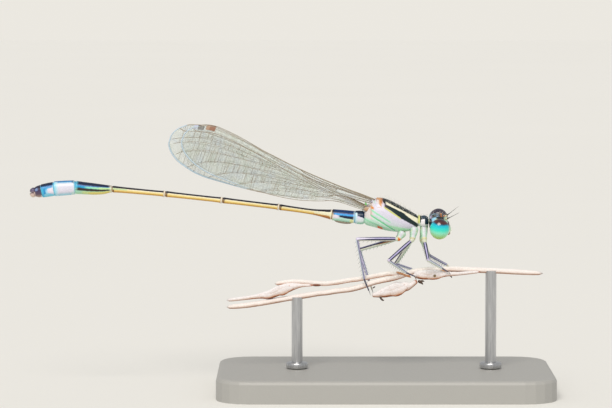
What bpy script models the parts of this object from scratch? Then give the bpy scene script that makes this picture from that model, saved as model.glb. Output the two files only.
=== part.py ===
"""A male bluetail damselfly, life size, gripping a cut length of grass stem that a small stand holds up.

+X runs towards the head, +Y to the insect's left and +Z up. The origin is the centre of the stand's
underside. Every size below is in millimetres, and MM turns it to Blender's metres.
"""

import math

import bmesh
import bpy
from mathutils import Matrix, Vector

MM = 0.001
GAP = 0.03  # clearance between neighbouring pieces
LEFT, RIGHT = 1, -1

# Stand
BASE_LENGTH, BASE_DEPTH, BASE_HEIGHT = 24.0, 14.0, 1.6
BASE_CORNER, BASE_CHAMFER = 2.4, 0.25
ROD_RADIUS = 0.4
ROD_PLACES = {"stand_rod_rear": -6.3, "stand_rod_front": 7.6}

# Head: it leans to the insect's right, so that its crown shows from that side
HEAD_CENTRE = Vector((3.86, 0.0, 12.03))
HEAD_ROLL = math.radians(16)
EYE_SPREAD = 1.05  # from the head's middle to an eye's middle
EYE_LENGTH, EYE_WIDTH, EYE_HEIGHT = 1.46, 1.24, 1.52
ANTENNA_LENGTH, ANTENNA_RADIUS = 1.15, 0.25

# Abdomen: its root, then each segment's length, rise towards the tail in degrees, height at the
# front and rear, and width over height
ABDOMEN_ROOT = Vector((-1.58, 0.0, 12.49))
SEGMENTS = {
    "abdomen_1": (0.57, 2.0, 1.02, 0.96, 0.95),
    "abdomen_2": (1.66, 6.5, 0.94, 0.82, 0.95),
    "abdomen_3": (3.80, 8.2, 0.76, 0.42, 1.0),
    "abdomen_4": (4.11, 6.9, 0.44, 0.42, 1.12),
    "abdomen_5": (4.11, 6.3, 0.44, 0.42, 1.12),
    "abdomen_6": (3.81, 5.3, 0.44, 0.46, 1.12),
    "abdomen_7": (2.65, 2.6, 0.50, 0.98, 0.95),
    "abdomen_8": (1.52, -4.0, 1.06, 1.10, 0.92),
    "abdomen_9": (0.90, -10.0, 1.06, 0.98, 0.92),
    "abdomen_10": (0.56, -11.0, 0.94, 0.78, 0.95),
}
WAIST_SHARE = 0.35  # the part of segment 3 over which it narrows from its swollen front
# Belly of segment 7, whose back is straight: share of its length, depth below its axis
BELLY = ((0.1, 0.31), (0.22, 0.42), (0.45, 0.49), (0.7, 0.50))
CLASPER_LENGTH, CLASPER_RADIUS, CLASPER_SPREAD = 0.27, 0.17, 0.186

# Wings: thickness, then each pair's root, length, rise in degrees, and distance from the middle
# plane at the root and along the blade
WING_THICKNESS = 0.5
WINGS = {
    "wing_fore": (Vector((-1.02, 0.0, 13.68)), 15.05, 16.8, 0.28, 0.28),
    "wing_hind": (Vector((-1.55, 0.0, 13.22)), 13.85, 21.0, 0.50, 0.81),
}
WING_SETTLES = 0.2  # share of a wing's length over which its plane moves out to the blade's
# Edges of the blade, as (share of length, share of length off the axis); the tip is rounded after
LEADING_EDGE = ((0, 0.014), (0.14, 0.022), (0.36, 0.046), (0.55, 0.079), (0.73, 0.108), (0.84, 0.117))
TRAILING_EDGE = ((0, 0.012), (0.15, 0.018), (0.24, 0.052), (0.36, 0.088), (0.55, 0.113), (0.76, 0.118))
TIP_CENTRE_RISE = 0.004

# Legs: radii, then each leg's coxa, trochanter, knee, ankle and claw
COXA_RADIUS, LEG_RADIUS = 0.32, 0.25
LEGS = {
    "leg_hind_right": ((1.20, -0.50, 11.75), (0.97, -0.78, 11.02), (-2.02, -1.05, 11.03),
                       (-1.50, -0.56, 8.10), (-1.15, -0.49, 7.25)),
    "leg_hind_left": ((1.20, 0.50, 11.75), (0.97, 0.80, 10.90), (-1.79, 1.90, 10.00),
                      (-1.13, 0.66, 7.86), (-0.90, 0.50, 7.20)),
    "leg_mid_right": ((1.90, -0.46, 11.75), (1.98, -0.74, 10.98), (0.22, -1.75, 9.55),
                      (1.50, -0.62, 8.58), (2.15, -0.64, 8.30)),
    "leg_mid_left": ((1.90, 0.46, 11.75), (1.98, 0.74, 10.86), (0.82, 1.95, 8.96),
                     (1.95, 0.53, 8.72), (2.20, 0.50, 8.10)),
    "leg_front_right": ((2.78, -0.30, 11.60), (2.83, -0.62, 10.93), (3.04, -1.60, 9.58),
                        (4.06, -0.52, 8.90), (4.50, -0.52, 8.62)),
    "leg_front_left": ((2.78, 0.30, 11.60), (2.72, 0.66, 10.82), (3.22, 1.75, 9.62),
                       (4.48, 0.53, 9.02), (4.78, 0.49, 8.55)),
}

# Perch: the cut stem's route and its side branch's, as (x, z), and their radii
STEM_RADIUS, BRANCH_RADIUS = 0.20, 0.18
STEM_ROUTE = ((-11.4, 6.03), (-9.7, 6.19), (-7.5, 6.57), (-6.1, 6.80), (-4.6, 7.05), (-2.5, 7.33),
              (-1.8, 7.46), (-1.07, 7.76), (-0.36, 7.90), (0.36, 8.04), (1.07, 8.24), (1.6, 8.48),
              (2.3, 8.68), (3.6, 8.73), (4.65, 8.79), (6.8, 8.70), (9.0, 8.60), (11.4, 8.46))
BRANCH_ROUTE = ((1.15, 8.46), (0.36, 8.48), (-0.36, 8.34), (-1.8, 8.06), (-2.5, 7.97), (-3.9, 7.74),
                (-4.7, 7.73), (-6.1, 7.84), (-6.8, 7.85), (-7.95, 7.70))
BRANCH_OFFSET = 0.12  # how far the branch lies to the insect's left of the stem
# Grass spikelets: how far each lies to the left, then (x, z, half height) along it
SPIKELETS = {
    "perch_spikelet_lower": (-0.32, (
        (-1.00, 6.88, 0.09), (-0.72, 6.95, 0.20), (-0.36, 7.02, 0.31), (0.0, 7.12, 0.42), (0.36, 7.24, 0.50),
        (0.72, 7.34, 0.53), (1.07, 7.43, 0.50), (1.43, 7.54, 0.43), (1.79, 7.70, 0.31), (2.15, 7.89, 0.17),
        (2.40, 8.00, 0.09))),
    "perch_spikelet_upper": (-0.26, (
        (1.90, 8.36, 0.10), (2.15, 8.36, 0.27), (2.51, 8.34, 0.36), (2.86, 8.34, 0.39), (3.22, 8.35, 0.39),
        (3.58, 8.37, 0.36), (3.94, 8.40, 0.28), (4.20, 8.41, 0.19), (4.65, 8.43, 0.16), (5.40, 8.48, 0.14),
        (6.10, 8.53, 0.13), (6.90, 8.60, 0.08))),
    "perch_spikelet_rear": (-0.02, (
        (-11.4, 6.53, 0.15), (-10.4, 6.64, 0.14), (-9.7, 6.73, 0.16), (-9.0, 6.84, 0.19), (-8.60, 6.92, 0.31),
        (-8.2, 7.02, 0.39), (-7.5, 7.20, 0.43), (-7.1, 7.31, 0.39), (-6.8, 7.42, 0.30), (-6.4, 7.55, 0.17),
        (-5.9, 7.60, 0.11), (-5.0, 7.62, 0.09))),
}
SPIKELET_FLATNESS = 0.86

# Name: (colour, roughness, metallic)
FINISHES = {
    "shell_dark": ((0.020, 0.045, 0.080), 0.30, 0.0),
    "thorax_green": ((0.50, 0.72, 0.55), 0.40, 0.0),
    "eye_turquoise": ((0.05, 0.62, 0.55), 0.12, 0.0),
    "abdomen_straw": ((0.66, 0.50, 0.16), 0.38, 0.0),
    "abdomen_blue": ((0.18, 0.62, 0.80), 0.38, 0.0),
    "abdomen_dark": ((0.03, 0.06, 0.14), 0.30, 0.0),
    "leg_grey": ((0.36, 0.36, 0.40), 0.42, 0.0),
    "wing_clear": ((0.72, 0.78, 0.78), 0.20, 0.0),
    "dry_grass": ((0.68, 0.55, 0.45), 0.75, 0.0),
    "stand_paint": ((0.40, 0.39, 0.37), 0.45, 0.0),
    "stand_steel": ((0.62, 0.62, 0.63), 0.32, 1.0),
}


def finish(name):
    """The named Principled material, made once."""
    found = bpy.data.materials.get(name)
    if found:
        return found
    colour, roughness, metallic = FINISHES[name]
    made = bpy.data.materials.new(name)
    made.use_nodes = True
    shader = made.node_tree.nodes["Principled BSDF"]
    shader.inputs["Base Color"].default_value = (*colour, 1)
    shader.inputs["Roughness"].default_value = roughness
    shader.inputs["Metallic"].default_value = metallic
    return made


def object_from(name, mesh_builder, material):
    """Turns a bmesh in millimetres into a smooth-shaded object of that material."""
    mesh_builder.transform(Matrix.Scale(MM, 4))
    bmesh.ops.recalc_face_normals(mesh_builder, faces=mesh_builder.faces)
    mesh = bpy.data.meshes.new(name)
    mesh_builder.to_mesh(mesh)
    mesh_builder.free()
    mesh.materials.append(finish(material))
    mesh.shade_smooth()
    mesh.set_sharp_from_angle(angle=math.radians(40))
    made = bpy.data.objects.new(name, mesh)
    bpy.context.scene.collection.objects.link(made)
    return made


def ring(centre, side, top, width, up, down, sides, power=2.0):
    """One cross-section: a superellipse with its own half height above and below the axis."""
    points = []
    for i in range(sides):
        angle = 2 * math.pi * (i + 0.5) / sides
        across, rise = math.cos(angle), math.sin(angle)
        across = math.copysign(abs(across) ** (2 / power), across) * width
        rise = math.copysign(abs(rise) ** (2 / power), rise) * (up if rise > 0 else down)
        points.append(centre + side * across + top * rise)
    return points


def lofted(name, rings, material):
    """A closed solid through cross-sections that all have the same number of points."""
    builder = bmesh.new()
    loops = []
    for points in rings:
        corners = [builder.verts.new(point) for point in points]
        loops.append([builder.edges.new(pair) for pair in zip(corners, corners[1:] + corners[:1])])
    for first, second in zip(loops, loops[1:]):
        bmesh.ops.bridge_loops(builder, edges=first + second)
    for end in (loops[0], loops[-1]):
        bmesh.ops.contextual_create(builder, geom=end)
    return object_from(name, builder, material)


def cut(piece, *cutters):
    """Takes the cutters out of the piece, and keeps them out of the model."""
    for cutter in cutters:
        cutter.hide_render = True
        cutter.display_type = "WIRE"
        knife = piece.modifiers.new("cut by " + cutter.name, "BOOLEAN")
        knife.operation = "DIFFERENCE"
        knife.solver = "EXACT"
        knife.object = cutter
    return piece


def smooth_line(points, steps):
    """A Catmull-Rom curve through the points, with so many steps between neighbours."""
    points = [Vector(p) for p in points]
    padded = [2 * points[0] - points[1], *points, 2 * points[-1] - points[-2]]
    line = []
    for a, b, c, d in zip(padded, padded[1:], padded[2:], padded[3:]):
        for i in range(steps):
            t = i / steps
            line.append(0.5 * (2 * b + (c - a) * t + (2 * a - 5 * b + 4 * c - d) * t**2
                               + (3 * b - a - 3 * c + d) * t**3))
    return [*line, points[-1]]


def tube(name, line, radii, material, sides=8, flatness=1.0, round_ends=False):
    """A solid round a line, with a radius at each of its points; flatness narrows it sideways."""
    tangents = [(after - before).normalized()
                for before, after in zip([line[0], *line], [*line[1:], line[-1]])]
    stations = list(zip(line, radii, tangents))
    if round_ends:
        for end, sign in ((0, -1), (-1, 1)):
            centre, radius, tangent = stations[end]
            dome = [(centre + tangent * sign * radius * math.sin(lean), radius * math.cos(lean), tangent)
                    for lean in (math.radians(35), math.radians(68))]
            stations = dome[::-1] + stations if end == 0 else stations + dome
    side = Vector((0, 1, 0))
    rings = []
    for centre, radius, tangent in stations:
        top = tangent.cross(side).normalized()
        side = top.cross(tangent).normalized()
        rings.append(ring(centre, side, top, radius * flatness, radius, radius, sides))
    return lofted(name, rings, material)


# Stand and perch


def stand():
    builder = bmesh.new()
    bmesh.ops.create_cube(builder, size=1, matrix=Matrix.Translation((0, 0, BASE_HEIGHT / 2))
                          @ Matrix.Diagonal((BASE_LENGTH, BASE_DEPTH, BASE_HEIGHT, 1)))
    upright = [e for e in builder.edges if abs(e.verts[0].co.z - e.verts[1].co.z) > BASE_HEIGHT / 2]
    bmesh.ops.bevel(builder, geom=upright, offset=BASE_CORNER, segments=5, affect="EDGES", profile=0.5)
    brim = [e for e in builder.edges if min(v.co.z for v in e.verts) > BASE_HEIGHT - GAP]
    bmesh.ops.bevel(builder, geom=brim, offset=BASE_CHAMFER, segments=2, affect="EDGES", profile=0.5)
    object_from("stand_base", builder, "stand_paint")
    stem = smooth_line([(x, 0, z) for x, z in STEM_ROUTE], 12)
    for name, x in ROD_PLACES.items():
        above = min(stem, key=lambda point: abs(point.x - x)).z
        foot, head = Vector((x, 0, BASE_HEIGHT + GAP)), Vector((x, 0, above))
        rod = tube(name, [foot, head], [ROD_RADIUS] * 2, "stand_steel", sides=16)
        cut(rod, perch_strand(name + "_notch", STEM_ROUTE, 0, STEM_RADIUS + GAP))


def perch_strand(name, route, offset, radius, taper=1.0):
    line = smooth_line([(x, offset, z) for x, z in route], 3)
    radii = [radius * (1 + (taper - 1) * i / (len(line) - 1)) for i in range(len(line))]
    return tube(name, line, radii, "dry_grass", sides=8)


def spikelet(name, node, grow=0.0):
    """The named spikelet of the list, or with grow a fatter one to cut others with."""
    offset, stations = SPIKELETS[node]
    line = [Vector((x, offset, z)) for x, z, _ in stations]
    return tube(name, line, [r + grow for _, _, r in stations], "dry_grass", sides=10,
                flatness=SPIKELET_FLATNESS)


def perch():
    perch_strand("perch_stem", STEM_ROUTE, 0, STEM_RADIUS)
    branch = perch_strand("perch_branch", BRANCH_ROUTE, BRANCH_OFFSET, BRANCH_RADIUS)
    cut(branch, perch_strand("stem_round_branch", STEM_ROUTE, 0, STEM_RADIUS + GAP))
    for name in SPIKELETS:
        around = strands_round(name)
        if name == "perch_spikelet_lower":
            around.append(spikelet("upper_round_lower", "perch_spikelet_upper", GAP))
        cut(spikelet(name, name), *around)


def strands_round(name):
    """Cutters that keep a piece clear of the stem and its branch."""
    return [perch_strand("stem_round_" + name, STEM_ROUTE, 0, STEM_RADIUS + GAP),
            perch_strand("branch_round_" + name, BRANCH_ROUTE, BRANCH_OFFSET, BRANCH_RADIUS + GAP)]


# Trunk


def thorax(name="thorax", grow=0.0):
    """The skewed box of the middle and hind thorax, as upright slices from waist to neck.

    Each slice is (x, top, bottom, half width, squareness).
    """
    slices = (
        (-1.55, 12.95, 12.02, 0.46, 2.2), (-1.25, 13.42, 11.90, 0.74, 2.8), (-0.90, 13.78, 11.82, 0.90, 3.0),
        (-0.50, 13.97, 11.70, 0.97, 2.6), (-0.05, 13.90, 11.55, 1.02, 2.3), (0.45, 13.70, 11.47, 1.02, 2.2),
        (0.95, 13.45, 11.42, 0.99, 2.2), (1.45, 13.16, 11.44, 0.90, 2.2), (1.85, 12.95, 11.54, 0.78, 2.2),
        (2.15, 12.76, 11.68, 0.62, 2.2), (2.38, 12.55, 11.90, 0.42, 2.2),
    )
    rings = []
    for i, (x, top, bottom, width, power) in enumerate(slices):
        reach = grow * {0: -1, len(slices) - 1: 1}.get(i, 0)
        middle, half = Vector((x + reach, 0, (top + bottom) / 2)), (top - bottom) / 2 + grow
        rings.append(ring(middle, Vector((0, 1, 0)), Vector((0, 0, 1)), width + grow, half, half, 16, power))
    return lofted(name, rings, "thorax_green")


def prothorax(name="prothorax", grow=0.0):
    """The collar that carries the front legs, with the neck at its front."""
    slices = ((2.44, 12.24, 0.40, 0.36), (2.56, 12.26, 0.52, 0.43), (2.80, 12.20, 0.54, 0.45),
              (3.00, 12.16, 0.44, 0.36), (3.12, 12.14, 0.26, 0.22), (3.55, 12.13, 0.22, 0.20))
    rings = [ring(Vector((x, 0, z)), Vector((0, 1, 0)), Vector((0, 0, 1)), width + grow, height + grow,
                  height + grow, 12) for x, z, width, height in slices]
    return lofted(name, rings, "shell_dark")


def abdomen():
    """Ten segments in a chain, mitred where the chain bends, and the two pairs of claspers."""
    joint = ABDOMEN_ROOT.copy()
    rises = [math.radians(s[1]) for s in SEGMENTS.values()]
    mitres = [rises[0], *((a + b) / 2 for a, b in zip(rises, rises[1:])), rises[-1]]
    for index, (name, (length, _, front, rear, breadth)) in enumerate(SEGMENTS.items()):
        axis = Vector((-math.cos(rises[index]), 0, math.sin(rises[index])))
        rings = []
        for share, above, below in segment_profile(name, front, rear):
            lean = {0: mitres[index], 1: mitres[index + 1]}.get(share, rises[index])
            top = Vector((math.sin(lean), 0, math.cos(lean)))
            travel = min(max(share * length, GAP / 2), length - GAP / 2)
            rings.append(ring(joint + axis * travel, Vector((0, 1, 0)), top, (above + below) * breadth / 2,
                              above, below, 12, 2.2))
        lofted(name, rings, segment_finish(index + 1))
        joint = joint + axis * length
    claspers(joint, rises[-1])


def segment_profile(name, front, rear):
    """Shape along a segment, as (share of its length, height above its axis, depth below it)."""
    if name == "abdomen_7":
        depths = ((0, front / 2), *BELLY, (1, rear / 2))
        return [(share, (front + (rear - front) * share) / 2, depth) for share, depth in depths]
    heights = ((0, front), (0.5, (front + rear) / 2), (1, rear))
    if name == "abdomen_3":
        heights = ((0, front), (WAIST_SHARE / 2, (front + rear) / 2), (WAIST_SHARE, rear), (0.95, rear),
                   (1, rear))
    elif name == "abdomen_10":
        heights = ((0, front), (0.5, (front + rear) / 2), (1, rear * 0.8))
    return [(share, height / 2, height / 2) for share, height in heights]


def segment_finish(number):
    if number in (2, 7, 10):
        return "abdomen_dark"
    return "abdomen_blue" if number in (1, 8, 9) else "abdomen_straw"


def claspers(joint, rise):
    """The upper pair, cerci, and the lower pair, paraprocts, behind the last segment."""
    axis = Vector((-math.cos(rise), 0, math.sin(rise)))
    for pair, height in (("cercus", CLASPER_SPREAD), ("paraproct", -CLASPER_SPREAD)):
        for side, word in ((LEFT, "left"), (RIGHT, "right")):
            root = joint + axis * (GAP / 2) + Vector((0, side * CLASPER_SPREAD, height))
            line = [root, root + axis * CLASPER_LENGTH * 0.6, root + axis * CLASPER_LENGTH]
            radii = [CLASPER_RADIUS, CLASPER_RADIUS * 0.9, CLASPER_RADIUS * 0.45]
            tube(f"{pair}_{word}", line, radii, "abdomen_dark")


# Wings


def edge_at(edge, share):
    """Smooth height of a wing's edge at a share of its length, level past the last knot."""
    share = min(share, edge[-1][0])
    for i, ((s0, h0), (s1, h1)) in enumerate(zip(edge, edge[1:])):
        if share <= s1:
            before = edge[max(i - 1, 0)]
            after = edge[min(i + 2, len(edge) - 1)]
            m0 = (h1 - before[1]) / (s1 - before[0])
            m1 = (after[1] - h0) / (after[0] - s0)
            t, width = (share - s0) / (s1 - s0), s1 - s0
            return (h0 * (2 * t**3 - 3 * t**2 + 1) + h1 * (3 * t**2 - 2 * t**3)
                    + width * (m0 * (t**3 - 2 * t**2 + t) + m1 * (t**3 - t**2)))
    return edge[-1][1]


def wing_half_heights(share):
    """Height of the leading edge above the wing's axis and of the trailing edge below it."""
    heights = []
    for edge, sign in ((LEADING_EDGE, 1), (TRAILING_EDGE, -1)):
        start = edge[-1][0]
        fall = math.sqrt(max(0, 1 - ((share - start) / (1 - start)) ** 2)) if share > start else 1
        heights.append(edge_at(edge, share) * fall + sign * TIP_CENTRE_RISE * (1 - fall))
    return heights


def wing_shares():
    """Stations along a wing, closer together round the tip."""
    blade = [i / 14 * 0.78 for i in range(15)]
    return blade + [0.78 + 0.219 * math.sin(math.pi / 2 * i / 9) for i in range(1, 10)]


def wing(name, root, length, rise, root_off, blade_off, side):
    rise = math.radians(rise)
    axis = Vector((-math.cos(rise), 0, math.sin(rise)))
    up = Vector((math.sin(rise), 0, math.cos(rise)))
    across = Vector((0, 1, 0))
    rings = []
    for share in wing_shares():
        settled = min(share / WING_SETTLES, 1)
        off = root_off + (blade_off - root_off) * settled**2 * (3 - 2 * settled)
        lead, trail = (h * length for h in wing_half_heights(share))
        middle = root + axis * share * length + across * off * side
        rings.append([middle + up * height + across * thick * WING_THICKNESS / 2
                      for height, thick in ((lead, -0.6), (lead, 0.6), (lead - 0.06, 1), (0.06 - trail, 1),
                                            (-trail, 0.6), (-trail, -0.6), (0.06 - trail, -1),
                                            (lead - 0.06, -1))])
    return cut(lofted(name, rings, "wing_clear"), thorax("thorax_round_" + name, GAP))


def wings():
    for pair, sizes in WINGS.items():
        for side, word in ((LEFT, "left"), (RIGHT, "right")):
            wing(f"{pair}_{word}", *sizes, side)


# Head


def head_frame():
    return Matrix.Translation(HEAD_CENTRE) @ Matrix.Rotation(HEAD_ROLL, 4, "X")


def head_shell(name="head", grow=0.0):
    """The capsule between the eyes, as upright slices from nape to clypeus.

    Each slice is (x, top, bottom, half width).
    """
    slices = ((-0.66, 0.30, -0.20, 0.40), (-0.50, 0.52, -0.42, 0.84), (-0.15, 0.64, -0.55, 0.98),
              (0.25, 0.62, -0.60, 0.92), (0.52, 0.46, -0.60, 0.72), (0.72, 0.14, -0.52, 0.54),
              (0.84, -0.04, -0.40, 0.38))
    rings = [ring(Vector((x, 0, (top + bottom) / 2)), Vector((0, 1, 0)), Vector((0, 0, 1)), width + grow,
                  (top - bottom) / 2 + grow, (top - bottom) / 2 + grow, 16, 2.3)
             for x, top, bottom, width in slices]
    made = lofted(name, rings, "shell_dark")
    return in_head(made)


def in_head(made):
    """Moves a piece made about the origin to the head's place and lean."""
    frame = head_frame()
    frame.translation *= MM
    made.matrix_world = frame
    return made


def eye(name, side, grow=0.0):
    builder = bmesh.new()
    size = Vector((EYE_LENGTH / 2 + grow, EYE_WIDTH / 2 + grow, EYE_HEIGHT / 2 + grow))
    bmesh.ops.create_uvsphere(builder, u_segments=18, v_segments=12, radius=1,
                              matrix=Matrix.Translation((0, side * EYE_SPREAD, 0))
                              @ Matrix.Diagonal((*size, 1)) @ Matrix.Rotation(math.pi / 2, 4, "X"))
    return in_head(object_from(name, builder, "eye_turquoise"))


def mouthparts():
    """Upper lip, jaws and lower lip under the front of the face."""
    builder = bmesh.new()
    bmesh.ops.create_uvsphere(builder, u_segments=12, v_segments=8, radius=1,
                              matrix=Matrix.Translation((0.52, 0, -0.62))
                              @ Matrix.Diagonal((0.40, 0.46, 0.34, 1)))
    made = in_head(object_from("mouthparts", builder, "thorax_green"))
    cutters = [eye(f"eye_{word}_round_mouth", side, GAP) for side, word in ((LEFT, "left"), (RIGHT, "right"))]
    cut(made, head_shell("head_round_mouth", GAP), *cutters)


def antenna(name, side):
    root = Vector((0.46, side * 0.34, 0.40))
    reach = Vector((0.78, side * 0.30, 0.55)).normalized()
    line = [root + reach * ANTENNA_LENGTH * share for share in (0, 0.5, 1)]
    made = in_head(tube(name, line, [ANTENNA_RADIUS] * 3, "shell_dark", sides=8, round_ends=True))
    cut(made, head_shell("head_round_" + name, GAP), eye("eye_round_" + name, side, GAP))


def head():
    skull = head_shell()
    cutters = []
    for side, word in ((LEFT, "left"), (RIGHT, "right")):
        eye("eye_" + word, side)
        cutters.append(eye(f"eye_{word}_socket", side, GAP))
        antenna("antenna_" + word, side)
    cut(skull, *cutters)
    mouthparts()
    collar = prothorax()
    cut(collar, head_shell("head_round_neck", GAP), thorax("thorax_round_neck", GAP))


# Legs


def legs():
    for name, joints in LEGS.items():
        coxa, trochanter, knee, ankle, claw = (Vector(j) for j in joints)
        radii = {"coxa": COXA_RADIUS, "femur": LEG_RADIUS, "tibia": LEG_RADIUS, "tarsus": LEG_RADIUS}
        ends = {"coxa": (coxa, trochanter), "femur": (trochanter, knee), "tibia": (knee, ankle),
                "tarsus": (ankle, claw)}
        above = thorax("thorax_round_" + name, GAP)
        for part, (start, end) in ends.items():
            cutters = [above]
            if part == "coxa" and "front" in name:
                cutters.append(prothorax("prothorax_round_" + name, GAP))
            if part == "tarsus":
                cutters += strands_round(name)
                cutters += [spikelet(f"{seed}_round_{name}", seed, GAP)
                            for seed in ("perch_spikelet_lower", "perch_spikelet_upper")]
            radius = radii[part]
            middle = (start + end) / 2
            node = f"{name}_{part}"
            cut(tube(node, [start, middle, end], [radius] * 3, "leg_grey", round_ends=True), *cutters)
            if part != "tarsus":
                above = tube(node + "_grown", [start, middle, end], [radius + GAP] * 3, "leg_grey",
                             sides=16, round_ends=True)


def main():
    for old in list(bpy.data.objects):
        bpy.data.objects.remove(old)
    stand()
    perch()
    thorax()
    abdomen()
    wings()
    head()
    legs()


main()
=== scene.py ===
"""The looks of a life-size bluetail damselfly on a cut grass stem, held over a flat base by two rods.

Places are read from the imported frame's own nodes. Other sizes are in millimetres, and MM turns them to
the frame's metres. +X is towards the head, +Y is the insect's left and +Z is up.
"""

import math
import random

import bpy
from mathutils import Matrix, Vector


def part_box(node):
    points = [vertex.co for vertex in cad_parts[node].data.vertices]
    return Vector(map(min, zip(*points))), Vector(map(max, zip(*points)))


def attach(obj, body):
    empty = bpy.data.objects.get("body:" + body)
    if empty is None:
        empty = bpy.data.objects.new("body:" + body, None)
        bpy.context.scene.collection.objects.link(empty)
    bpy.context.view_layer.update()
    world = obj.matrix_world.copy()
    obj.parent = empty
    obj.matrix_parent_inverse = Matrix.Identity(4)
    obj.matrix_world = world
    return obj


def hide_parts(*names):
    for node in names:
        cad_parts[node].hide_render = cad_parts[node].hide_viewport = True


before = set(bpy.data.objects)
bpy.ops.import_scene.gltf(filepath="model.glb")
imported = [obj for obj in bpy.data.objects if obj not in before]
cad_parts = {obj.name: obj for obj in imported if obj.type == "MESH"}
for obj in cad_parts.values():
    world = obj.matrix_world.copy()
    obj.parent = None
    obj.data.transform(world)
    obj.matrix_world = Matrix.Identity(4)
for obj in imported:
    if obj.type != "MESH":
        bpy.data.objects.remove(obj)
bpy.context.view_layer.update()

MM = 0.001
X, Y, Z = Vector((1, 0, 0)), Vector((0, 1, 0)), Vector((0, 0, 1))
SIDES = {"left": 1, "right": -1}
CAD_RING = 12  # corners round the end of an abdomen node
ROD_DOME = 0.927  # how far a rounded rod's last ring stands past its end, in radii
CAD_LEG_RADIUS = 0.25 * MM


# Reading the frame


def corners_of(node):
    """The places of a node's corners, each once."""
    places = {tuple(round(c, 7) for c in v.co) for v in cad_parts[node].data.vertices}
    return [Vector(place) for place in sorted(places)]


def middle(points):
    return sum(points, Vector()) / len(points)


def ring_of(corners):
    """An upright ring of corners as (middle, half width, half height)."""
    heights = [c.z for c in corners]
    centre = middle(corners)
    centre.z = (max(heights) + min(heights)) / 2
    return centre, max(c.y for c in corners), (max(heights) - min(heights)) / 2


def stretch_at(places, share):
    """Which of the rising places a share comes after, and how far it is from there to the next one."""
    last = len(places) - 2
    i = next((i for i in range(last) if share <= places[i + 1]), last)
    return i, (share - places[i]) / (places[i + 1] - places[i])


def height_at(line, x):
    """The height of a line of (x, z) at x."""
    i, t = stretch_at([place for place, _ in line], x)
    return line[i][1] + (line[i + 1][1] - line[i][1]) * t


def box_middle(node):
    low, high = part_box(node)
    return (low + high) / 2


def limb_end(node, start, radius=0.25):
    """The end of a rounded rod's axis that lies farthest from start; the rod's radius is in millimetres."""
    corners = corners_of(node)
    reach = max((c - start).length for c in corners)
    tip = middle([c for c in corners if (c - start).length > reach - 0.04 * MM])
    return tip - (tip - start).normalized() * radius * ROD_DOME * MM


def centre_line(node, count):
    """Count places along a lengthwise node, from its tail end, as (middle, half height)."""
    corners = corners_of(node)
    low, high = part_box(node)
    step = (high.x - low.x) / count
    groups = []
    for i in range(count):
        near = [c for c in corners if abs(c.x - low.x - step * (i + 0.5)) <= step * 0.75]
        if len(near) >= 6:
            groups.append(near)
    centres = [middle(group) for group in groups]
    line = []
    for group, centre, way in zip(groups, centres, headings(centres)):
        rise = way.cross(Y).normalized()
        heights = [(corner - centre).dot(rise) for corner in group]
        line.append((centre, (max(heights) - min(heights)) / 2))
    return line


# Modelling


def activate(piece):
    bpy.ops.object.select_all(action="DESELECT")
    piece.select_set(True)
    bpy.context.view_layer.objects.active = piece


def apply(piece, kind, **settings):
    """Adds a modifier with its settings and applies it."""
    activate(piece)
    modifier = piece.modifiers.new(kind.lower(), kind)
    for key, value in settings.items():
        setattr(modifier, key, value)
    bpy.ops.object.modifier_apply(modifier=modifier.name)
    return piece


def smooth(piece, levels, angle):
    """Subdivides a piece and shades it smooth across edges that bend less than the angle in degrees."""
    if levels:
        apply(piece, "SUBSURF", levels=levels, render_levels=levels)
    activate(piece)
    bpy.ops.object.shade_smooth_by_angle(angle=math.radians(angle))
    return piece


def primitive(name, make, **settings):
    """A new piece from one of the plain shapes."""
    bpy.ops.object.select_all(action="DESELECT")
    make(**settings)
    piece = bpy.context.object
    piece.name = name
    return piece


def joined(name, parts):
    """Joins pieces into the first one."""
    activate(parts[0])
    for part in parts:
        part.select_set(True)
    bpy.ops.object.join()
    parts[0].name = name
    return parts[0]


def copy_of(piece, matrix):
    """A copy with its own mesh, moved by the matrix."""
    made = piece.copy()
    made.data = piece.data.copy()
    made.data.transform(matrix)
    bpy.context.scene.collection.objects.link(made)
    return made


def removed(piece):
    """Takes a pattern piece away once its copies are made."""
    bpy.data.objects.remove(piece)


def section(count, power=2.0, roof=0.0, keel=0.0, ribs=0, rib_depth=0.0):
    """A unit cross-section as (across, rise), clockwise from its top.

    A power above 2 squares it, roof narrows its upper half, keel lifts its top corner, and ribs run round.
    """
    points = []
    for i in range(count):
        angle = 2 * math.pi * i / count
        across = math.copysign(abs(math.sin(angle)) ** (2 / power), math.sin(angle))
        rise = math.copysign(abs(math.cos(angle)) ** (2 / power), math.cos(angle))
        swell = 1 + rib_depth * math.cos(ribs * angle)
        points.append((across * swell * (1 - roof * max(rise, 0)), rise * swell + keel * (i == 0)))
    return points


def headings(centres):
    """The mean direction of a path at each of its points."""
    steps = zip([centres[0], *centres], [*centres[1:], centres[-1]])
    return [(after - before).normalized() for before, after in steps]


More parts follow.
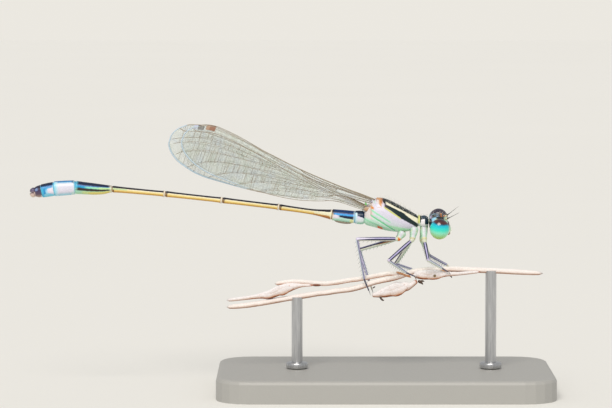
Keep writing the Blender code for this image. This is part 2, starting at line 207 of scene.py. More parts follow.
def loft(name, rings, outline, top=Z, upright=None, levels=1, angle=40):
    """Extrudes a cross-section through rings of (middle, half width, half height), in metres.

    Top is the way its top faces at the start, and upright, if given, the way that every ring faces. The
    piece gets a UV map, lie: how far along it a place is and how far round from its top, each 0 to 1.
    """
    centres = [ring[0] for ring in rings]
    ways = [upright] * len(rings) if upright else headings(centres)
    side = top.cross(ways[0]).normalized()
    rise = ways[0].cross(side).normalized()
    piece = primitive(name, bpy.ops.mesh.primitive_circle_add, vertices=len(outline), radius=MM,
                      fill_type="NGON")
    centre, width, height = rings[0]
    for vertex, (across, up) in zip(piece.data.vertices, outline):
        vertex.co = centre + side * across * width + rise * up * height
    bpy.ops.object.mode_set(mode="EDIT")
    bpy.ops.mesh.select_all(action="SELECT")
    for i in range(1, len(rings)):
        before, (centre, width, height) = rings[i - 1], rings[i]
        about = {"orient_type": "GLOBAL", "orient_matrix_type": "GLOBAL", "center_override": centre}
        axes = Matrix((side, rise, ways[i - 1])).transposed()
        bpy.ops.mesh.extrude_region_move(TRANSFORM_OT_translate={"value": centre - before[0]})
        growth = (width / before[1], height / before[2], 1)
        bpy.ops.transform.resize(value=growth, orient_matrix=axes, **about)
        turn = ways[i - 1].rotation_difference(ways[i])
        if turn.angle > STRAIGHT:
            axis = turn.axis.to_track_quat("Z", "Y").to_matrix()
            bpy.ops.transform.rotate(value=turn.angle, orient_axis="Z", orient_matrix=axis,
                                     constraint_axis=(False, False, True), **about)
            side, rise = turn @ side, turn @ rise
    bpy.ops.mesh.select_all(action="SELECT")
    bpy.ops.mesh.normals_make_consistent(inside=False)
    set_order(centres[0] + ASKEW)
    bpy.ops.object.mode_set(mode="OBJECT")
    lay_out(piece, centres, len(outline))
    return smooth(piece, levels, angle)


STRAIGHT = 1e-5  # rings that turn by less than this, in radians, are left as they are
ASKEW = Vector((3.1, 1.7, 2.3)) * MM  # off to one side, so that few faces are equally far from there


def set_order(place):
    """Lists edges and faces by distance from a place, because extrude's own order varies by run."""
    cursor = bpy.context.scene.cursor
    cursor.location = place
    bpy.ops.mesh.sort_elements(type="CURSOR_DISTANCE", elements={"EDGE", "FACE"})
    cursor.location = (0, 0, 0)


def write_map(piece, name, spot_of):
    """Gives a piece one UV map, whose spots come from each corner's number and place."""
    layers = piece.data.uv_layers
    while layers:
        layers.remove(layers[0])
    flat = layers.new(name=name)
    for loop in piece.data.loops:
        number = loop.vertex_index
        flat.data[loop.index].uv = spot_of(number, piece.data.vertices[number].co)


def lay_out(piece, centres, count):
    """Writes the lie map from each corner's ring and its place in the ring."""
    travelled = [0.0]
    for before, after in zip(centres, centres[1:]):
        travelled.append(travelled[-1] + (after - before).length)

    def spot_of(number, _):
        ring, spot = divmod(number, count)
        return travelled[ring] / travelled[-1], min(spot, count - spot) * 2 / count

    write_map(piece, "lie", spot_of)


def tapered(name, points, radii, outline, top=Z, levels=1, flat=1.0):
    """A loft along a path in metres, with a radius in millimetres at each point; flat narrows it sideways."""
    rings = [(point, radius * flat * MM, radius * MM) for point, radius in zip(points, radii)]
    return loft(name, rings, outline, top=top, levels=levels)


def curved(points, steps):
    """A Catmull-Rom curve through the points."""
    padded = [2 * points[0] - points[1], *points, 2 * points[-1] - points[-2]]
    line = []
    for a, b, c, d in zip(padded, padded[1:], padded[2:], padded[3:]):
        for i in range(steps):
            t = i / steps
            line.append(0.5 * (2 * b + (c - a) * t + (2 * a - 5 * b + 4 * c - d) * t**2
                               + (3 * b - a - 3 * c + d) * t**3))
    return [*line, points[-1]]


def lump(name, place, levels=2):
    """A rounded cushion of shell: a cube with its edges bevelled, smoothed and put in place."""
    piece = primitive(name, bpy.ops.mesh.primitive_cube_add, size=2)
    bpy.ops.object.mode_set(mode="EDIT")
    bpy.ops.mesh.select_all(action="SELECT")
    bpy.ops.mesh.bevel(offset=0.5, segments=1)
    bpy.ops.object.mode_set(mode="OBJECT")
    piece.data.transform(place)
    return smooth(piece, levels, 180)


def placed(centre, size, turn):
    """The matrix of a piece of half sizes in millimetres at a place, turned by a rotation matrix."""
    return Matrix.Translation(centre) @ turn.to_4x4() @ Matrix.Diagonal((*(Vector(size) * MM), 1))


def leaning(degrees):
    """A turn about the sideways axis."""
    return Matrix.Rotation(math.radians(degrees), 3, "Y")


# Materials


def linear(code):
    """A hex sRGB colour as linear RGBA."""
    shares = [int(code[i:i + 2], 16) / 255 for i in (1, 3, 5)]
    return (*(c / 12.92 if c <= 0.04045 else ((c + 0.055) / 1.055) ** 2.4 for c in shares), 1)


def wire(tree, sockets, values):
    """Fills sockets with values or with other nodes' outputs."""
    for key, value in values.items():
        if isinstance(value, bpy.types.NodeSocket):
            tree.links.new(value, sockets[key])
        else:
            sockets[key].default_value = value


def add(tree, kind, inputs=None, stops=None, **settings):
    """Adds a node with its settings and inputs."""
    node = tree.nodes.new(kind)
    for key, value in settings.items():
        setattr(node, key, value)
    if stops:
        elements = node.color_ramp.elements
        while len(elements) < len(stops):
            elements.new(0.5)
        for element, (place, code) in zip(elements, stops):
            element.position = place
            element.color = linear(code)
    wire(tree, node.inputs, inputs or {})
    return node


def blank(name):
    """A new material's tree and its Principled shader."""
    made = bpy.data.materials.new(name)
    made.use_nodes = True
    return made, made.node_tree, made.node_tree.nodes["Principled BSDF"]


def finish(shader, **values):
    """Fills a shader's own sockets; an underscore stands for a space in a socket's name."""
    wire(shader.id_data, shader.inputs, {key.replace("_", " "): value for key, value in values.items()})


def object_place(tree):
    return add(tree, "ShaderNodeTexCoord").outputs["Object"]


def grain(tree, size_mm, detail=2.0):
    """Noise over a piece, in patches of about that size."""
    return add(tree, "ShaderNodeTexNoise", {"Vector": object_place(tree), "Scale": 1 / (size_mm * MM),
                                            "Detail": detail}).outputs[0]


def worked(tree, operation, *values):
    """The result of one step of arithmetic on the values, such as ADD."""
    return add(tree, "ShaderNodeMath", dict(enumerate(values)), operation=operation).outputs[0]


def ranged(tree, value, start, end, low=0.0, high=1.0, kind="LINEAR"):
    """Low to high as the value goes from start to end."""
    return add(tree, "ShaderNodeMapRange", {"Value": value, "From Min": start, "From Max": end, "To Min": low,
                                            "To Max": high}, interpolation_type=kind).outputs[0]


def near(tree, value, reach, width):
    """1 where the value is under reach and 0 beyond it, with a soft edge of that width."""
    return ranged(tree, value, reach - width / 2, reach + width / 2, 1.0, 0.0, "SMOOTHSTEP")


def toned(tree, share, stops):
    """The colour of a ramp of (share, colour) stops."""
    return add(tree, "ShaderNodeValToRGB", {0: share}, stops=stops).outputs[0]


def evenly(*codes):
    """Stops of a ramp at equal steps."""
    return tuple((i / (len(codes) - 1), code) for i, code in enumerate(codes))


def blend(tree, share, under, over):
    return add(tree, "ShaderNodeMix", {0: share, 6: under, 7: over}, data_type="RGBA").outputs[2]


def scaled(tree, colour, share):
    return add(tree, "ShaderNodeVectorMath", {0: colour, "Scale": share}, operation="SCALE").outputs[0]


def bumpy(tree, height, strength, depth_mm, **settings):
    """A bump in the surface."""
    return add(tree, "ShaderNodeBump", {"Height": height, "Strength": strength, "Distance": depth_mm * MM},
               **settings).outputs[0]


def marking_group():
    """A stripe or patch of one colour, soft at its edges, whose limits round the piece may run at a slant."""
    group = bpy.data.node_groups.new("marking", "ShaderNodeTree")
    for name in ("Ground", "Mark"):
        group.interface.new_socket(name=name, in_out="INPUT", socket_type="NodeSocketColor")
    for name in ("Along", "Around", "From", "To", "Top at start", "Top at end", "Foot at start",
                 "Foot at end", "Blur along", "Blur around"):
        group.interface.new_socket(name=name, in_out="INPUT", socket_type="NodeSocketFloat")
    group.interface.new_socket(name="Colour", in_out="OUTPUT", socket_type="NodeSocketColor")
    given = add(group, "NodeGroupInput").outputs
    travelled = ranged(group, given["Along"], given["From"], given["To"])
    top, foot = (ranged(group, travelled, 0.0, 1.0, given[edge + " at start"], given[edge + " at end"])
                 for edge in ("Top", "Foot"))
    shares = []
    for far, close, way in ((given["Around"], top, "around"), (foot, given["Around"], "around"),
                            (given["Along"], given["From"], "along"), (given["To"], given["Along"], "along")):
        inside = worked(group, "DIVIDE", worked(group, "SUBTRACT", far, close), given["Blur " + way])
        shares.append(ranged(group, worked(group, "ADD", inside, 0.5), 0.0, 1.0, kind="SMOOTHSTEP"))
    whole = shares[0]
    for share in shares[1:]:
        whole = worked(group, "MULTIPLY", whole, share)
    add(group, "NodeGroupOutput", {"Colour": blend(group, whole, given["Ground"], given["Mark"])})
    return group


MARKING = marking_group()


def marked(tree, ground, along, around, marks, blur):
    """Lays markings over a ground colour, with edges blurred along and around the piece.

    Each mark is (colour, from, to, top at start, foot at start, top at end, foot at end).
    """
    for code, start, end, top, foot, end_top, end_foot in marks:
        ground = add(tree, "ShaderNodeGroup", {
            "Ground": ground, "Mark": linear(code), "Along": along, "Around": around, "From": start,
            "To": end, "Top at start": top, "Foot at start": foot, "Top at end": end_top,
            "Foot at end": end_foot, "Blur along": blur[0], "Blur around": blur[1],
        }, node_tree=MARKING).outputs["Colour"]
    return ground


def lie_of(tree):
    """How far along and how far round its piece a place is."""
    lie = add(tree, "ShaderNodeUVMap", uv_map="lie").outputs[0]
    parts = add(tree, "ShaderNodeSeparateXYZ", {0: lie})
    return parts.outputs["X"], parts.outputs["Y"]


def weathered(tree, colour, grain_mm, dark, light):
    """The colour made a little darker and lighter in patches of that size."""
    return scaled(tree, colour, ranged(tree, grain(tree, grain_mm, 4.0), 0.25, 0.75, dark, light))


def pitted(tree, grain_mm, depth_mm, strength):
    """A bump of fine pits, for the punctured surface of hard shell."""
    cells = add(tree, "ShaderNodeTexVoronoi", {"Vector": object_place(tree), "Scale": 1 / (grain_mm * MM)},
                feature="SMOOTH_F1")
    return bumpy(tree, cells.outputs["Distance"], strength, depth_mm)


def cuticle(name, ground, marks=(), shine=0.36, coat=0.25, blur=(0.03, 0.04), span=1.0, waver=0.06):
    """Insect shell, which is chitin: smooth, waxy and slightly see-through where it is pale.

    Ground is stops from a piece's top, 0, to its underside, 1, where the lie map reads span. Waver is how
    far the edges of the markings stray.
    """
    made, tree, shader = blank(name)
    along, around = lie_of(tree)
    shifted = worked(tree, "MULTIPLY_ADD", grain(tree, 0.16, 3.0), waver, around)
    around = worked(tree, "SUBTRACT", shifted, waver / 2)
    colour = toned(tree, worked(tree, "DIVIDE", around, span), ground)
    colour = weathered(tree, marked(tree, colour, along, around, marks, blur), 0.09, 0.86, 1.04)
    finish(shader, Base_Color=colour, Normal=pitted(tree, 0.035, 0.006, 0.35), Roughness=shine,
           Coat_Weight=coat, Coat_Roughness=0.22, IOR=1.54, Specular_IOR_Level=0.22)
    return made


def coated(piece, material):
    """Gives a piece one material."""
    piece.data.materials.clear()
    piece.data.materials.append(material)


def give(piece, material, body_slot, *nodes):
    """Gives a piece its material, rides it on the body and hides the nodes it replaces; body_slot is not
    used.
    """
    coated(piece, material)
    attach(piece, "root")
    if nodes:
        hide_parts(*nodes)


def give_plain(piece, material, body_slot, *nodes):
    """The same for a piece that wasn't lofted; its lie map runs from its top, 0, to its foot, 1."""
    heights = [v.co.z for v in piece.data.vertices]
    low, high = min(heights), max(heights)
    write_map(piece, "lie", lambda _, place: (0.5, (high - place.z) / (high - low)))
    give(piece, material, body_slot, *nodes)


# Thorax


def ridge_map(piece):
    """Writes the lie map in millimetres: x, and how far a place is below the line of the thorax's ridge."""
    write_map(piece, "lie", lambda _, place: (
        place.x / MM, RIDGE_HEIGHT - (RIDGE_FALL * place.x + place.z) / MM))


def slices_of(node):
    """The upright slices of a lengthwise node, from its tail end, as (middle, half width, half height)."""
    groups = []
    for corner in sorted(corners_of(node), key=lambda c: c.x):
        if not groups or corner.x - groups[-1][0].x > SLICE_GAP:
            groups.append([])
        groups[-1].append(corner)
    slices = [ring_of(group) for group in groups]
    for centre, _, _ in slices:
        centre.y = 0
    return slices


SLICE_GAP = 0.02 * MM  # corners nearer to each other lengthwise than this are in one slice
# The thorax's ridge as a straight line: its height where x is 0, and its fall towards the head
RIDGE_HEIGHT, RIDGE_FALL = 13.86, 0.50


def thorax():
    """The box of the middle and hind thorax, roofed, with a keel along its back and creases on its sides."""
    slices = slices_of("thorax")
    # The shell's front end stands a little farther out and is larger than the node's
    centre, width, height = slices[-1]
    slices[-1] = (centre + X * 0.05 * MM, width * 1.12, height * 1.12)
    body = loft("thorax_shell", slices, section(28, power=2.35, roof=0.20, keel=0.02), upright=X, levels=3)
    creases(body)
    ridge_map(body)
    # Each marking's place is x, towards the head, and depth below the ridge line, in millimetres
    side = cuticle(
        "thorax cuticle, lilac white and mint with black shoulders",
        ((0.0, "#DCD8E8"), (0.42, "#D9D5E6"), (0.58, "#D8DFE6"), (0.72, "#D2EBE0"), (0.88, "#C6EED8"),
         (1.0, "#B4E9C8")),
        marks=(
            ("#E4DCDC", -1.75, -0.85, 0.4, 2.1, 0.3, 1.9),  # rear plate
            ("#C9B09C", -1.56, -0.92, 1.30, 1.38, 0.90, 0.98),  # its brown outlines
            ("#C2A692", -1.06, -0.98, 0.70, 1.65, 0.70, 1.65),
            ("#9CE3B8", -1.00, 0.36, 1.20, 1.34, 1.42, 1.52),  # slanting bands
            ("#74D69C", -1.05, 0.72, 1.60, 1.72, 1.86, 1.98),
            ("#A3E5BE", -1.50, 0.36, 2.12, 2.24, 2.02, 2.12),
            ("#B9EDC6", 0.30, 1.80, 1.72, 1.80, 1.26, 1.80),
            ("#D2D676", -0.10, 1.10, 0.56, 0.67, 0.76, 0.88),  # rim under the shoulder stripe
            ("#EFECD2", -0.10, 0.60, 0.16, 0.32, 0.13, 0.36),  # pale stripe beside the back
            ("#EFECD2", 0.45, 2.42, 0.12, 0.36, 0.20, 0.62),
            ("#3A2A2A", -0.06, 0.40, 0.37, 0.58, 0.36, 0.62),  # shoulder stripe, brown at its start
            ("#12292B", 0.12, 1.40, 0.35, 0.56, 0.34, 0.85),
            ("#12292B", 1.10, 2.36, 0.33, 0.80, 0.62, 0.90),
            ("#0F2226", -0.16, 2.6, -0.6, 0.165, -0.6, 0.25),  # black back
            ("#141C1E", -0.22, 0.04, -0.1, 0.26, -0.1, 0.42),
            ("#D59A62", -0.66, -0.26, 0.14, 0.46, 0.10, 0.72),  # tan round the wing roots
            ("#B9784A", -0.36, -0.20, 0.00, 0.40, 0.05, 0.46),
            ("#E0DCE0", -0.60, -0.46, 0.30, 0.60, 0.30, 0.60),
            ("#C9D8D4", -0.96, -0.70, 0.34, 0.62, 0.34, 0.74),
            ("#C8B4AE", -0.60, -0.30, 0.84, 0.90, 0.72, 0.78),
            ("#DD8A3C", -1.02, -0.82, 1.02, 1.18, 0.98, 1.14),
            ("#8FD98A", -1.50, -1.18, 0.86, 1.12, 0.82, 1.06),
            ("#D9662A", -0.56, -0.18, 2.16, 2.62, 2.14, 2.60),
            ("#D9702A", 1.18, 1.52, 1.68, 1.90, 1.62, 1.84),
        ),
        blur=(0.16, 0.06), span=2.5, waver=0.06)
    give(body, side, "thorax_green", "thorax")
    wing_hinges()


# Creases between the side plates, each from one (x, z) to another, with its depth, all in millimetres
SIDE_CREASES = (((-1.02, 12.72), (0.66, 11.60), 0.035), ((-1.30, 12.20), (0.30, 11.58), 0.025),
                ((-0.02, 13.26), (2.20, 11.92), 0.030), ((-1.00, 13.30), (-1.02, 12.10), 0.025))
CREASE_WIDTH = 0.07
CREASE_RUN_OUT = 0.05  # how far a crease runs on past both ends while it fades, as a share of its length
CREASE_FADE = 8  # how fast it fades there
BACK_HALF_WIDTH = 0.2  # nearer to the middle plane than this, in millimetres, the back has no creases


def creases(piece):
    """Presses narrow creases into both sides of a shell."""
    first, last = -CREASE_RUN_OUT, 1 + CREASE_RUN_OUT
    for vertex in piece.data.vertices:
        place = vertex.co / MM
        for start, end, depth in SIDE_CREASES:
            start, end = Vector(start), Vector(end)
            run = end - start
            share = (Vector((place.x, place.z)) - start).dot(run) / run.length_squared
            if first < share < last and abs(place.y) > BACK_HALF_WIDTH:
                gap = (Vector((place.x, place.z)) - start - run * share).length / CREASE_WIDTH
                fade = min(1, CREASE_FADE * (share - first), CREASE_FADE * (last - share))
                vertex.co.y -= math.copysign(depth * math.exp(-gap * gap) * fade * MM, place.y)


def wing_hinges():
    """The small plates of shell that carry the wing roots, tan, orange, brown, green and white."""
    finishes = {
        "tan": cuticle("hinge cuticle, tan", evenly("#D0A278", "#B98358", "#9A6742")),
        "white": cuticle("hinge cuticle, white", evenly("#ECE8EA", "#C9CED0")),
        "grey": cuticle("hinge cuticle, lilac grey", evenly("#ABA6BA", "#807C8E")),
        "brown": cuticle("hinge cuticle, brown", evenly("#7A4C30", "#5E3A28")),
        "green": cuticle("hinge cuticle, green", evenly("#8FDC84", "#72C070")),
    }
    # Each plate is (x, y, z), half sizes and lean in degrees
    plates = {
        "tan": (
            ((-0.36, 0.34, 13.70), (0.07, 0.12, 0.20), -14), ((-0.50, 0.28, 13.85), (0.14, 0.10, 0.06), 14),
            ((-1.00, 0.50, 13.17), (0.10, 0.07, 0.06), 34), ((-0.52, 0.46, 13.50), (0.05, 0.08, 0.14), -10)),
        "white": (
            ((-0.66, 0.14, 13.90), (0.09, 0.10, 0.05), 10), ((-0.88, 0.32, 13.65), (0.12, 0.10, 0.05), 30),
            ((-1.12, 0.40, 13.48), (0.11, 0.09, 0.05), 35), ((-1.60, 0.22, 13.10), (0.12, 0.16, 0.08), 50),
            ((-0.74, 0.46, 13.42), (0.12, 0.09, 0.07), 15)),
        "grey": (
            ((-0.98, 0.38, 13.66), (0.10, 0.08, 0.05), 25), ((-1.26, 0.44, 13.34), (0.09, 0.08, 0.05), 45),
            ((-0.60, 0.34, 13.74), (0.08, 0.09, 0.05), 0), ((-1.44, 0.40, 13.18), (0.08, 0.08, 0.05), 40)),
        "brown": (
            ((-0.20, 0.32, 13.73), (0.05, 0.14, 0.12), -20), ((-1.08, 0.50, 13.27), (0.07, 0.06, 0.05), 40),
            ((-0.78, 0.28, 13.78), (0.08, 0.06, 0.04), 24)),
        "green": (((-1.38, 0.42, 13.47), (0.09, 0.08, 0.06), 40),),
    }
    for tone, spots in plates.items():
        lumps = []
        for (x, y, z), size, lean in spots:
            for side in SIDES.values():
                lumps.append(lump("hinge", placed(Vector((x, y * side, z)) * MM, size, leaning(lean))))
        give_plain(joined(f"hinges_{tone}", lumps), finishes[tone], "thorax_green")


def prothorax():
    """The collar plate with its raised hind lobe, and the soft neck in front of it."""
    low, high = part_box("prothorax")
    start = Vector((low.x - 0.10 * MM, 0, (low.z + high.z) / 2))
    end = start + X * 0.76 * MM
    rings = []
    for share, swell, lift in ((0.0, 0.80, 0.03), (0.05, 0.98, 0.05), (0.16, 1.04, 0.06), (0.24, 0.98, 0.03),
                               (0.34, 0.94, 0.0), (0.5, 1.04, 0.0), (0.68, 1.06, 0.0), (0.84, 0.93, 0.0),
                               (0.95, 0.74, 0.0), (1.0, 0.55, 0.0)):
        centre = start.lerp(end, share) + Z * lift * MM
        rings.append((centre, 0.50 * MM * swell, 0.415 * MM * swell))
    body = loft("collar_shell", rings, section(20, power=2.3, roof=0.10), upright=X, levels=2)
    look = cuticle(
        "collar cuticle, blue black with pale flanks",
        ((0.0, "#123C54"), (0.38, "#0F2F45"), (0.52, "#153A50"), (0.60, "#E6EDE2"), (1.0, "#C9EDD2")),
        marks=(("#D8DE8C", -0.1, 0.20, -0.1, 0.62, -0.1, 0.62), ("#10222B", 0.2, 0.34, -0.1, 0.5, -0.1, 0.5),
               ("#F3EFF2", 0.30, 0.66, 0.40, 1.0, 0.36, 1.0), ("#13303F", 0.66, 1.1, -0.1, 0.62, -0.1, 0.7)))
    give(body, look, "shell_dark", "prothorax")
    nape = end + Vector((0.40, 0, -0.08)) * MM
    neck_rings = [(end.lerp(nape, share), 0.21 * MM * swell, 0.18 * MM * swell)
                  for share, swell in ((-0.2, 0.8), (0.1, 1.05), (0.25, 0.9), (0.42, 1.08), (0.58, 0.9),
                                       (0.75, 1.08), (0.9, 0.9), (1.1, 1.0))]
    neck = loft("neck_skin", neck_rings, section(16), upright=X, levels=2)
    soft = cuticle("neck membrane, pale and soft", evenly("#8FA08C", "#C9D6BE", "#C3DEC4"),
                   shine=0.55, coat=0.05)
    give(neck, soft, "thorax_green")


# Abdomen


def segment_rings(node):
    """An abdomen node's rings, from its head end, as (middle, half width, half height).

    A straight segment's middle ring isn't whole in the frame, so only its ends are used.
    """
    corners = sorted(corners_of(node), key=lambda c: -c.x)
    if len(corners) % CAD_RING:
        corners = corners[:CAD_RING] + corners[-CAD_RING:]
    return [ring_of(corners[start:start + CAD_RING]) for start in range(0, len(corners), CAD_RING)]


def along_segment(rings, share):
    """Middle, half width and half height at a share of a segment's length."""
    reached = [(ring[0] - rings[0][0]).length for ring in rings]
    i, t = stretch_at([length / reached[-1] for length in reached], share)
    (centre, width, height), (next_centre, next_width, next_height) = rings[i:i + 2]
    return centre.lerp(next_centre, t), width + (next_width - width) * t, height + (next_height - height) * t


# The usual profiles, ground and markings of the segments below
SLIM = ((0.0, 0.80), (0.004, 1.05), (0.012, 1.25), (0.024, 1.21), (0.034, 0.98), (0.08, 0.93), (0.3, 0.93),
        (0.6, 0.95), (0.85, 1.0), (0.95, 1.07), (0.985, 1.12), (1.0, 1.02))
STOUT = ((0.0, 0.93), (0.02, 1.0), (0.06, 1.02), (0.10, 1.0), (0.25, 1.02), (0.5, 1.04), (0.8, 1.03),
         (0.94, 1.03), (0.99, 1.03), (1.0, 0.97))
# The cream band under the black back is pale cuticle brightened into a painted highlight; gold runs on below
# it
SLIM_GROUND = ((0.0, "#2B2431"), (0.30, "#1C1A26"), (0.345, "#3A3436"), (0.38, "#F3EBC8"), (0.54, "#F2DA8A"),
               (0.70, "#DBA845"), (1.0, "#B57F30"))
# Behind each pale front ring, the thin brown ring is painted shadow in the joint's groove
SLIM_MARKS = (("#F8EEDC", -0.1, 0.027, -0.1, 1.1, -0.1, 1.1), ("#9A7856", 0.027, 0.032, -0.1, 1.1, -0.1, 1.1),
              ("#6A4630", 0.966, 0.990, 0.30, 0.80, 0.22, 0.86),
              ("#17151F", 0.95, 1.1, -0.1, 0.40, -0.1, 0.42))
# Segment number: slot, profile as (share of its length from the head end, share of the node's size),
# ground from back to belly, and markings, each (colour, from, to, top and foot at the head end, top and
# foot at the tail end)
SEGMENT_LOOKS = {
    1: ("abdomen_blue", ((-0.30, 0.84), (0.0, 0.97), *STOUT[1:]),
        ((0.0, "#0A2F52"), (0.34, "#0D2846"), (0.40, "#8E9AC6"), (0.47, "#E2DCEE"), (0.66, "#E0ECEC"),
         (0.80, "#AEE9CF"), (1.0, "#9ADFC0")),
        (("#0D2846", -0.1, 0.80, -0.1, 0.56, -0.1, 0.40), ("#CFEAF2", 0.80, 1.1, 0.24, 1.1, 0.24, 1.1))),
    2: ("abdomen_dark", STOUT,
        # Second segment: the thin sky blue line within its blue side is a painted highlight
        ((0.0, "#053F80"), (0.22, "#06336A"), (0.33, "#062850"), (0.38, "#1676D6"), (0.43, "#52C0FA"),
         (0.47, "#1F72C6"), (0.52, "#BCDDF0"), (0.62, "#C9EFDF"), (1.0, "#A4E6C0")),
        (("#0F2038", 0.02, 0.72, 0.46, 0.62, 0.48, 0.56), ("#EEF0A8", -0.05, 0.20, 0.62, 0.90, 0.62, 0.86),
         ("#E8E2F0", 0.70, 1.1, 0.48, 0.64, 0.44, 0.70), ("#6E645C", 0.12, 0.74, 0.86, 1.1, 0.88, 1.1),
         ("#CFE9F2", -0.1, 0.05, -0.1, 1.1, -0.1, 1.1), ("#0F1826", 0.93, 1.1, -0.1, 0.48, -0.1, 0.42),
         ("#E8D6A8", 0.965, 1.1, 0.40, 1.1, 0.36, 1.1))),
    3: ("abdomen_straw", ((0.0, 0.86), (0.006, 1.0), (0.015, 1.06), (0.03, 1.03), (0.05, 1.0), (0.17, 1.0),
                          (0.30, 0.97), (0.45, 0.95), (0.7, 0.95), (0.88, 1.0), (0.96, 1.07), (0.99, 1.12),
                          (1.0, 1.02)),
        SLIM_GROUND,
        (*SLIM_MARKS, ("#ECE9C8", 0.0, 0.34, 0.34, 0.60, 0.36, 0.58),
         ("#C48A4E", 0.05, 0.36, 0.58, 0.88, 0.66, 0.9), ("#B3733A", 0.02, 0.16, 0.66, 1.1, 0.70, 1.1))),
    4: ("abdomen_straw", SLIM, SLIM_GROUND, SLIM_MARKS),
    5: ("abdomen_straw", SLIM, SLIM_GROUND, SLIM_MARKS),
    6: ("abdomen_straw", SLIM, SLIM_GROUND,
        (*SLIM_MARKS, ("#BFD8A0", 0.72, 1.1, 0.37, 0.50, 0.37, 0.52))),
    7: ("abdomen_dark", ((0.0, 0.80), (0.008, 1.0), (0.022, 1.10), (0.04, 1.06), (0.055, 0.99), (0.12, 1.0),
                         (0.22, 1.01), (0.34, 1.01), (0.46, 1.01), (0.58, 1.01), (0.72, 1.0), (0.86, 1.0),
                         (0.94, 1.01), (0.985, 1.02), (1.0, 0.96)),
        ((0.0, "#0C1A38"), (0.31, "#0E1D40"), (0.36, "#1C6CBC"), (0.42, "#16A6D6"), (0.475, "#2A82B0"),
         (0.51, "#1C2028"), (0.58, "#2A241F"), (0.64, "#A9E0C4"), (0.82, "#B0DFB4"), (1.0, "#8DB48A")),
        (("#8FE0C8", -0.1, 0.72, 0.375, 0.49, 0.385, 0.475), ("#A4E4B8", -0.1, 0.54, 0.38, 0.50, 0.385, 0.48),
         ("#C3E6A6", -0.1, 0.36, 0.38, 0.52, 0.385, 0.49),
         ("#3A3128", 0.10, 0.95, 0.50, 0.60, 0.48, 0.60), ("#CFE29A", 0.04, 0.80, 0.62, 0.90, 0.64, 0.86),
         ("#E6D776", 0.04, 0.62, 0.64, 0.88, 0.68, 0.86),
         ("#BC8F3C", -0.1, 0.60, 0.86, 1.1, 0.90, 1.1), ("#ECE2CC", -0.1, 0.040, -0.1, 1.1, -0.1, 1.1),
         ("#6FD4F0", 0.965, 1.1, -0.1, 0.55, -0.1, 0.55), ("#A9E4C8", 0.965, 1.1, 0.5, 1.1, 0.5, 1.1))),
    8: ("abdomen_blue", STOUT,
        # Eighth segment: the lilac white middle of its blue side is a painted highlight
        ((0.0, "#0E5C9C"), (0.16, "#1680C0"), (0.22, "#9CCBE6"), (0.28, "#DFE0EE"), (0.66, "#E0DDEC"),
         (0.78, "#AEDCEC"), (1.0, "#62C0DC")),
        (("#BFE4F2", 0.82, 1.1, 0.14, 0.9, 0.14, 0.9), ("#86D4EC", 0.92, 1.1, 0.10, 0.9, 0.10, 0.9),
         ("#C9E4DE", -0.1, 0.16, 0.60, 0.95, 0.70, 0.95), ("#0C3A6C", -0.1, 0.10, -0.1, 0.34, -0.1, 0.26),
         ("#BFEAF4", -0.1, 0.04, -0.1, 1.1, -0.1, 1.1))),
    9: ("abdomen_blue", STOUT,
        ((0.0, "#0A1A34"), (0.26, "#0C2648"), (0.33, "#1874BC"), (0.42, "#44B0E4"), (0.54, "#AEDDF2"),
         (0.70, "#8FD6F0"), (0.84, "#6CD0E8"), (1.0, "#58BCDA")),
        # Ninth segment: the first two marks, lilac white on its forward half, are a painted highlight
        (("#E6DFF0", -0.1, 0.50, 0.40, 0.74, 0.44, 0.62), ("#F0E4F2", 0.02, 0.34, 0.44, 0.66, 0.46, 0.58),
         ("#2F96D2", 0.66, 1.1, 0.30, 0.66, 0.30, 0.70), ("#48B8E0", 0.84, 1.1, 0.40, 0.90, 0.40, 0.90),
         ("#D6EAF0", -0.1, 0.05, 0.30, 1.1, 0.30, 1.1))),
    10: ("abdomen_dark", STOUT,
         ((0.0, "#241E34"), (0.30, "#2B2844"), (0.46, "#473E5E"), (0.62, "#5E4F60"), (0.78, "#A88E86"),
          (1.0, "#DCC8B4")),
         # Tenth segment: the first mark, blue grey on its side, is a painted highlight
         (("#7C93BE", 0.40, 0.78, 0.26, 0.42, 0.28, 0.44), ("#C9B4AC", 0.84, 1.1, 0.46, 1.1, 0.40, 1.1),
          ("#CFE0E4", -0.1, 0.10, 0.70, 1.1, 0.70, 1.1))),
}


SEGMENT_SECTION = section(20, power=2.15)


def abdomen():
    """Ten ringed segments, each with its front rim tucked in the one before, and the claspers."""
    for number, (body_slot, profile, ground, marks) in SEGMENT_LOOKS.items():
        node = f"abdomen_{number}"
        rings = segment_rings(node)
        stations = []
        for share, swell in profile:
            centre, width, height = along_segment(rings, share)
            stations.append((centre, width * swell, height * swell))
        piece = loft(f"segment_{number}", stations, SEGMENT_SECTION)
        soft = 0.02 if body_slot == "abdomen_straw" else 0.13
        look = cuticle(f"abdomen cuticle {number}", ground, marks, blur=(soft, 0.045))
        give(piece, look, body_slot, node)
    joint_skins()
    genital_ridge()
    claspers()


# Tint: slot, the segments that it follows, and its tones from back to belly
JOINT_SKINS = {
    "blue": ("abdomen_blue", (1, 7, 8, 9), ((0.0, "#2F7EAE"), (0.3, "#5FB4D6"), (1.0, "#8CCCD4"))),
    "tan": ("abdomen_straw", (2, 3, 4, 5, 6), ((0.0, "#3A3230"), (0.4, "#9C8262"), (1.0, "#A88A60"))),
}


def joint_skins():
    """The soft skin that closes each joint between two hard rings of the abdomen."""
    for tint, (body_slot, numbers, tones) in JOINT_SKINS.items():
        sleeves = []
        for number in numbers:
            end, start = segment_rings(f"abdomen_{number}")[-1], segment_rings(f"abdomen_{number + 1}")[0]
            way = (start[0] - end[0]).normalized() * MM
            stations = [(ring[0] + way * step, ring[1] * share, ring[2] * share) for ring, step, share in (
                (end, -0.12, 0.70), (end, -0.05, 0.93), (start, 0.05, 0.93), (start, 0.12, 0.70))]
            sleeves.append(loft("joint_skin", stations, SEGMENT_SECTION))
        look = cuticle(f"joint membrane, soft and {tint}", tones)
        give(joined(f"joint_skins_{tint}", sleeves), look, body_slot)


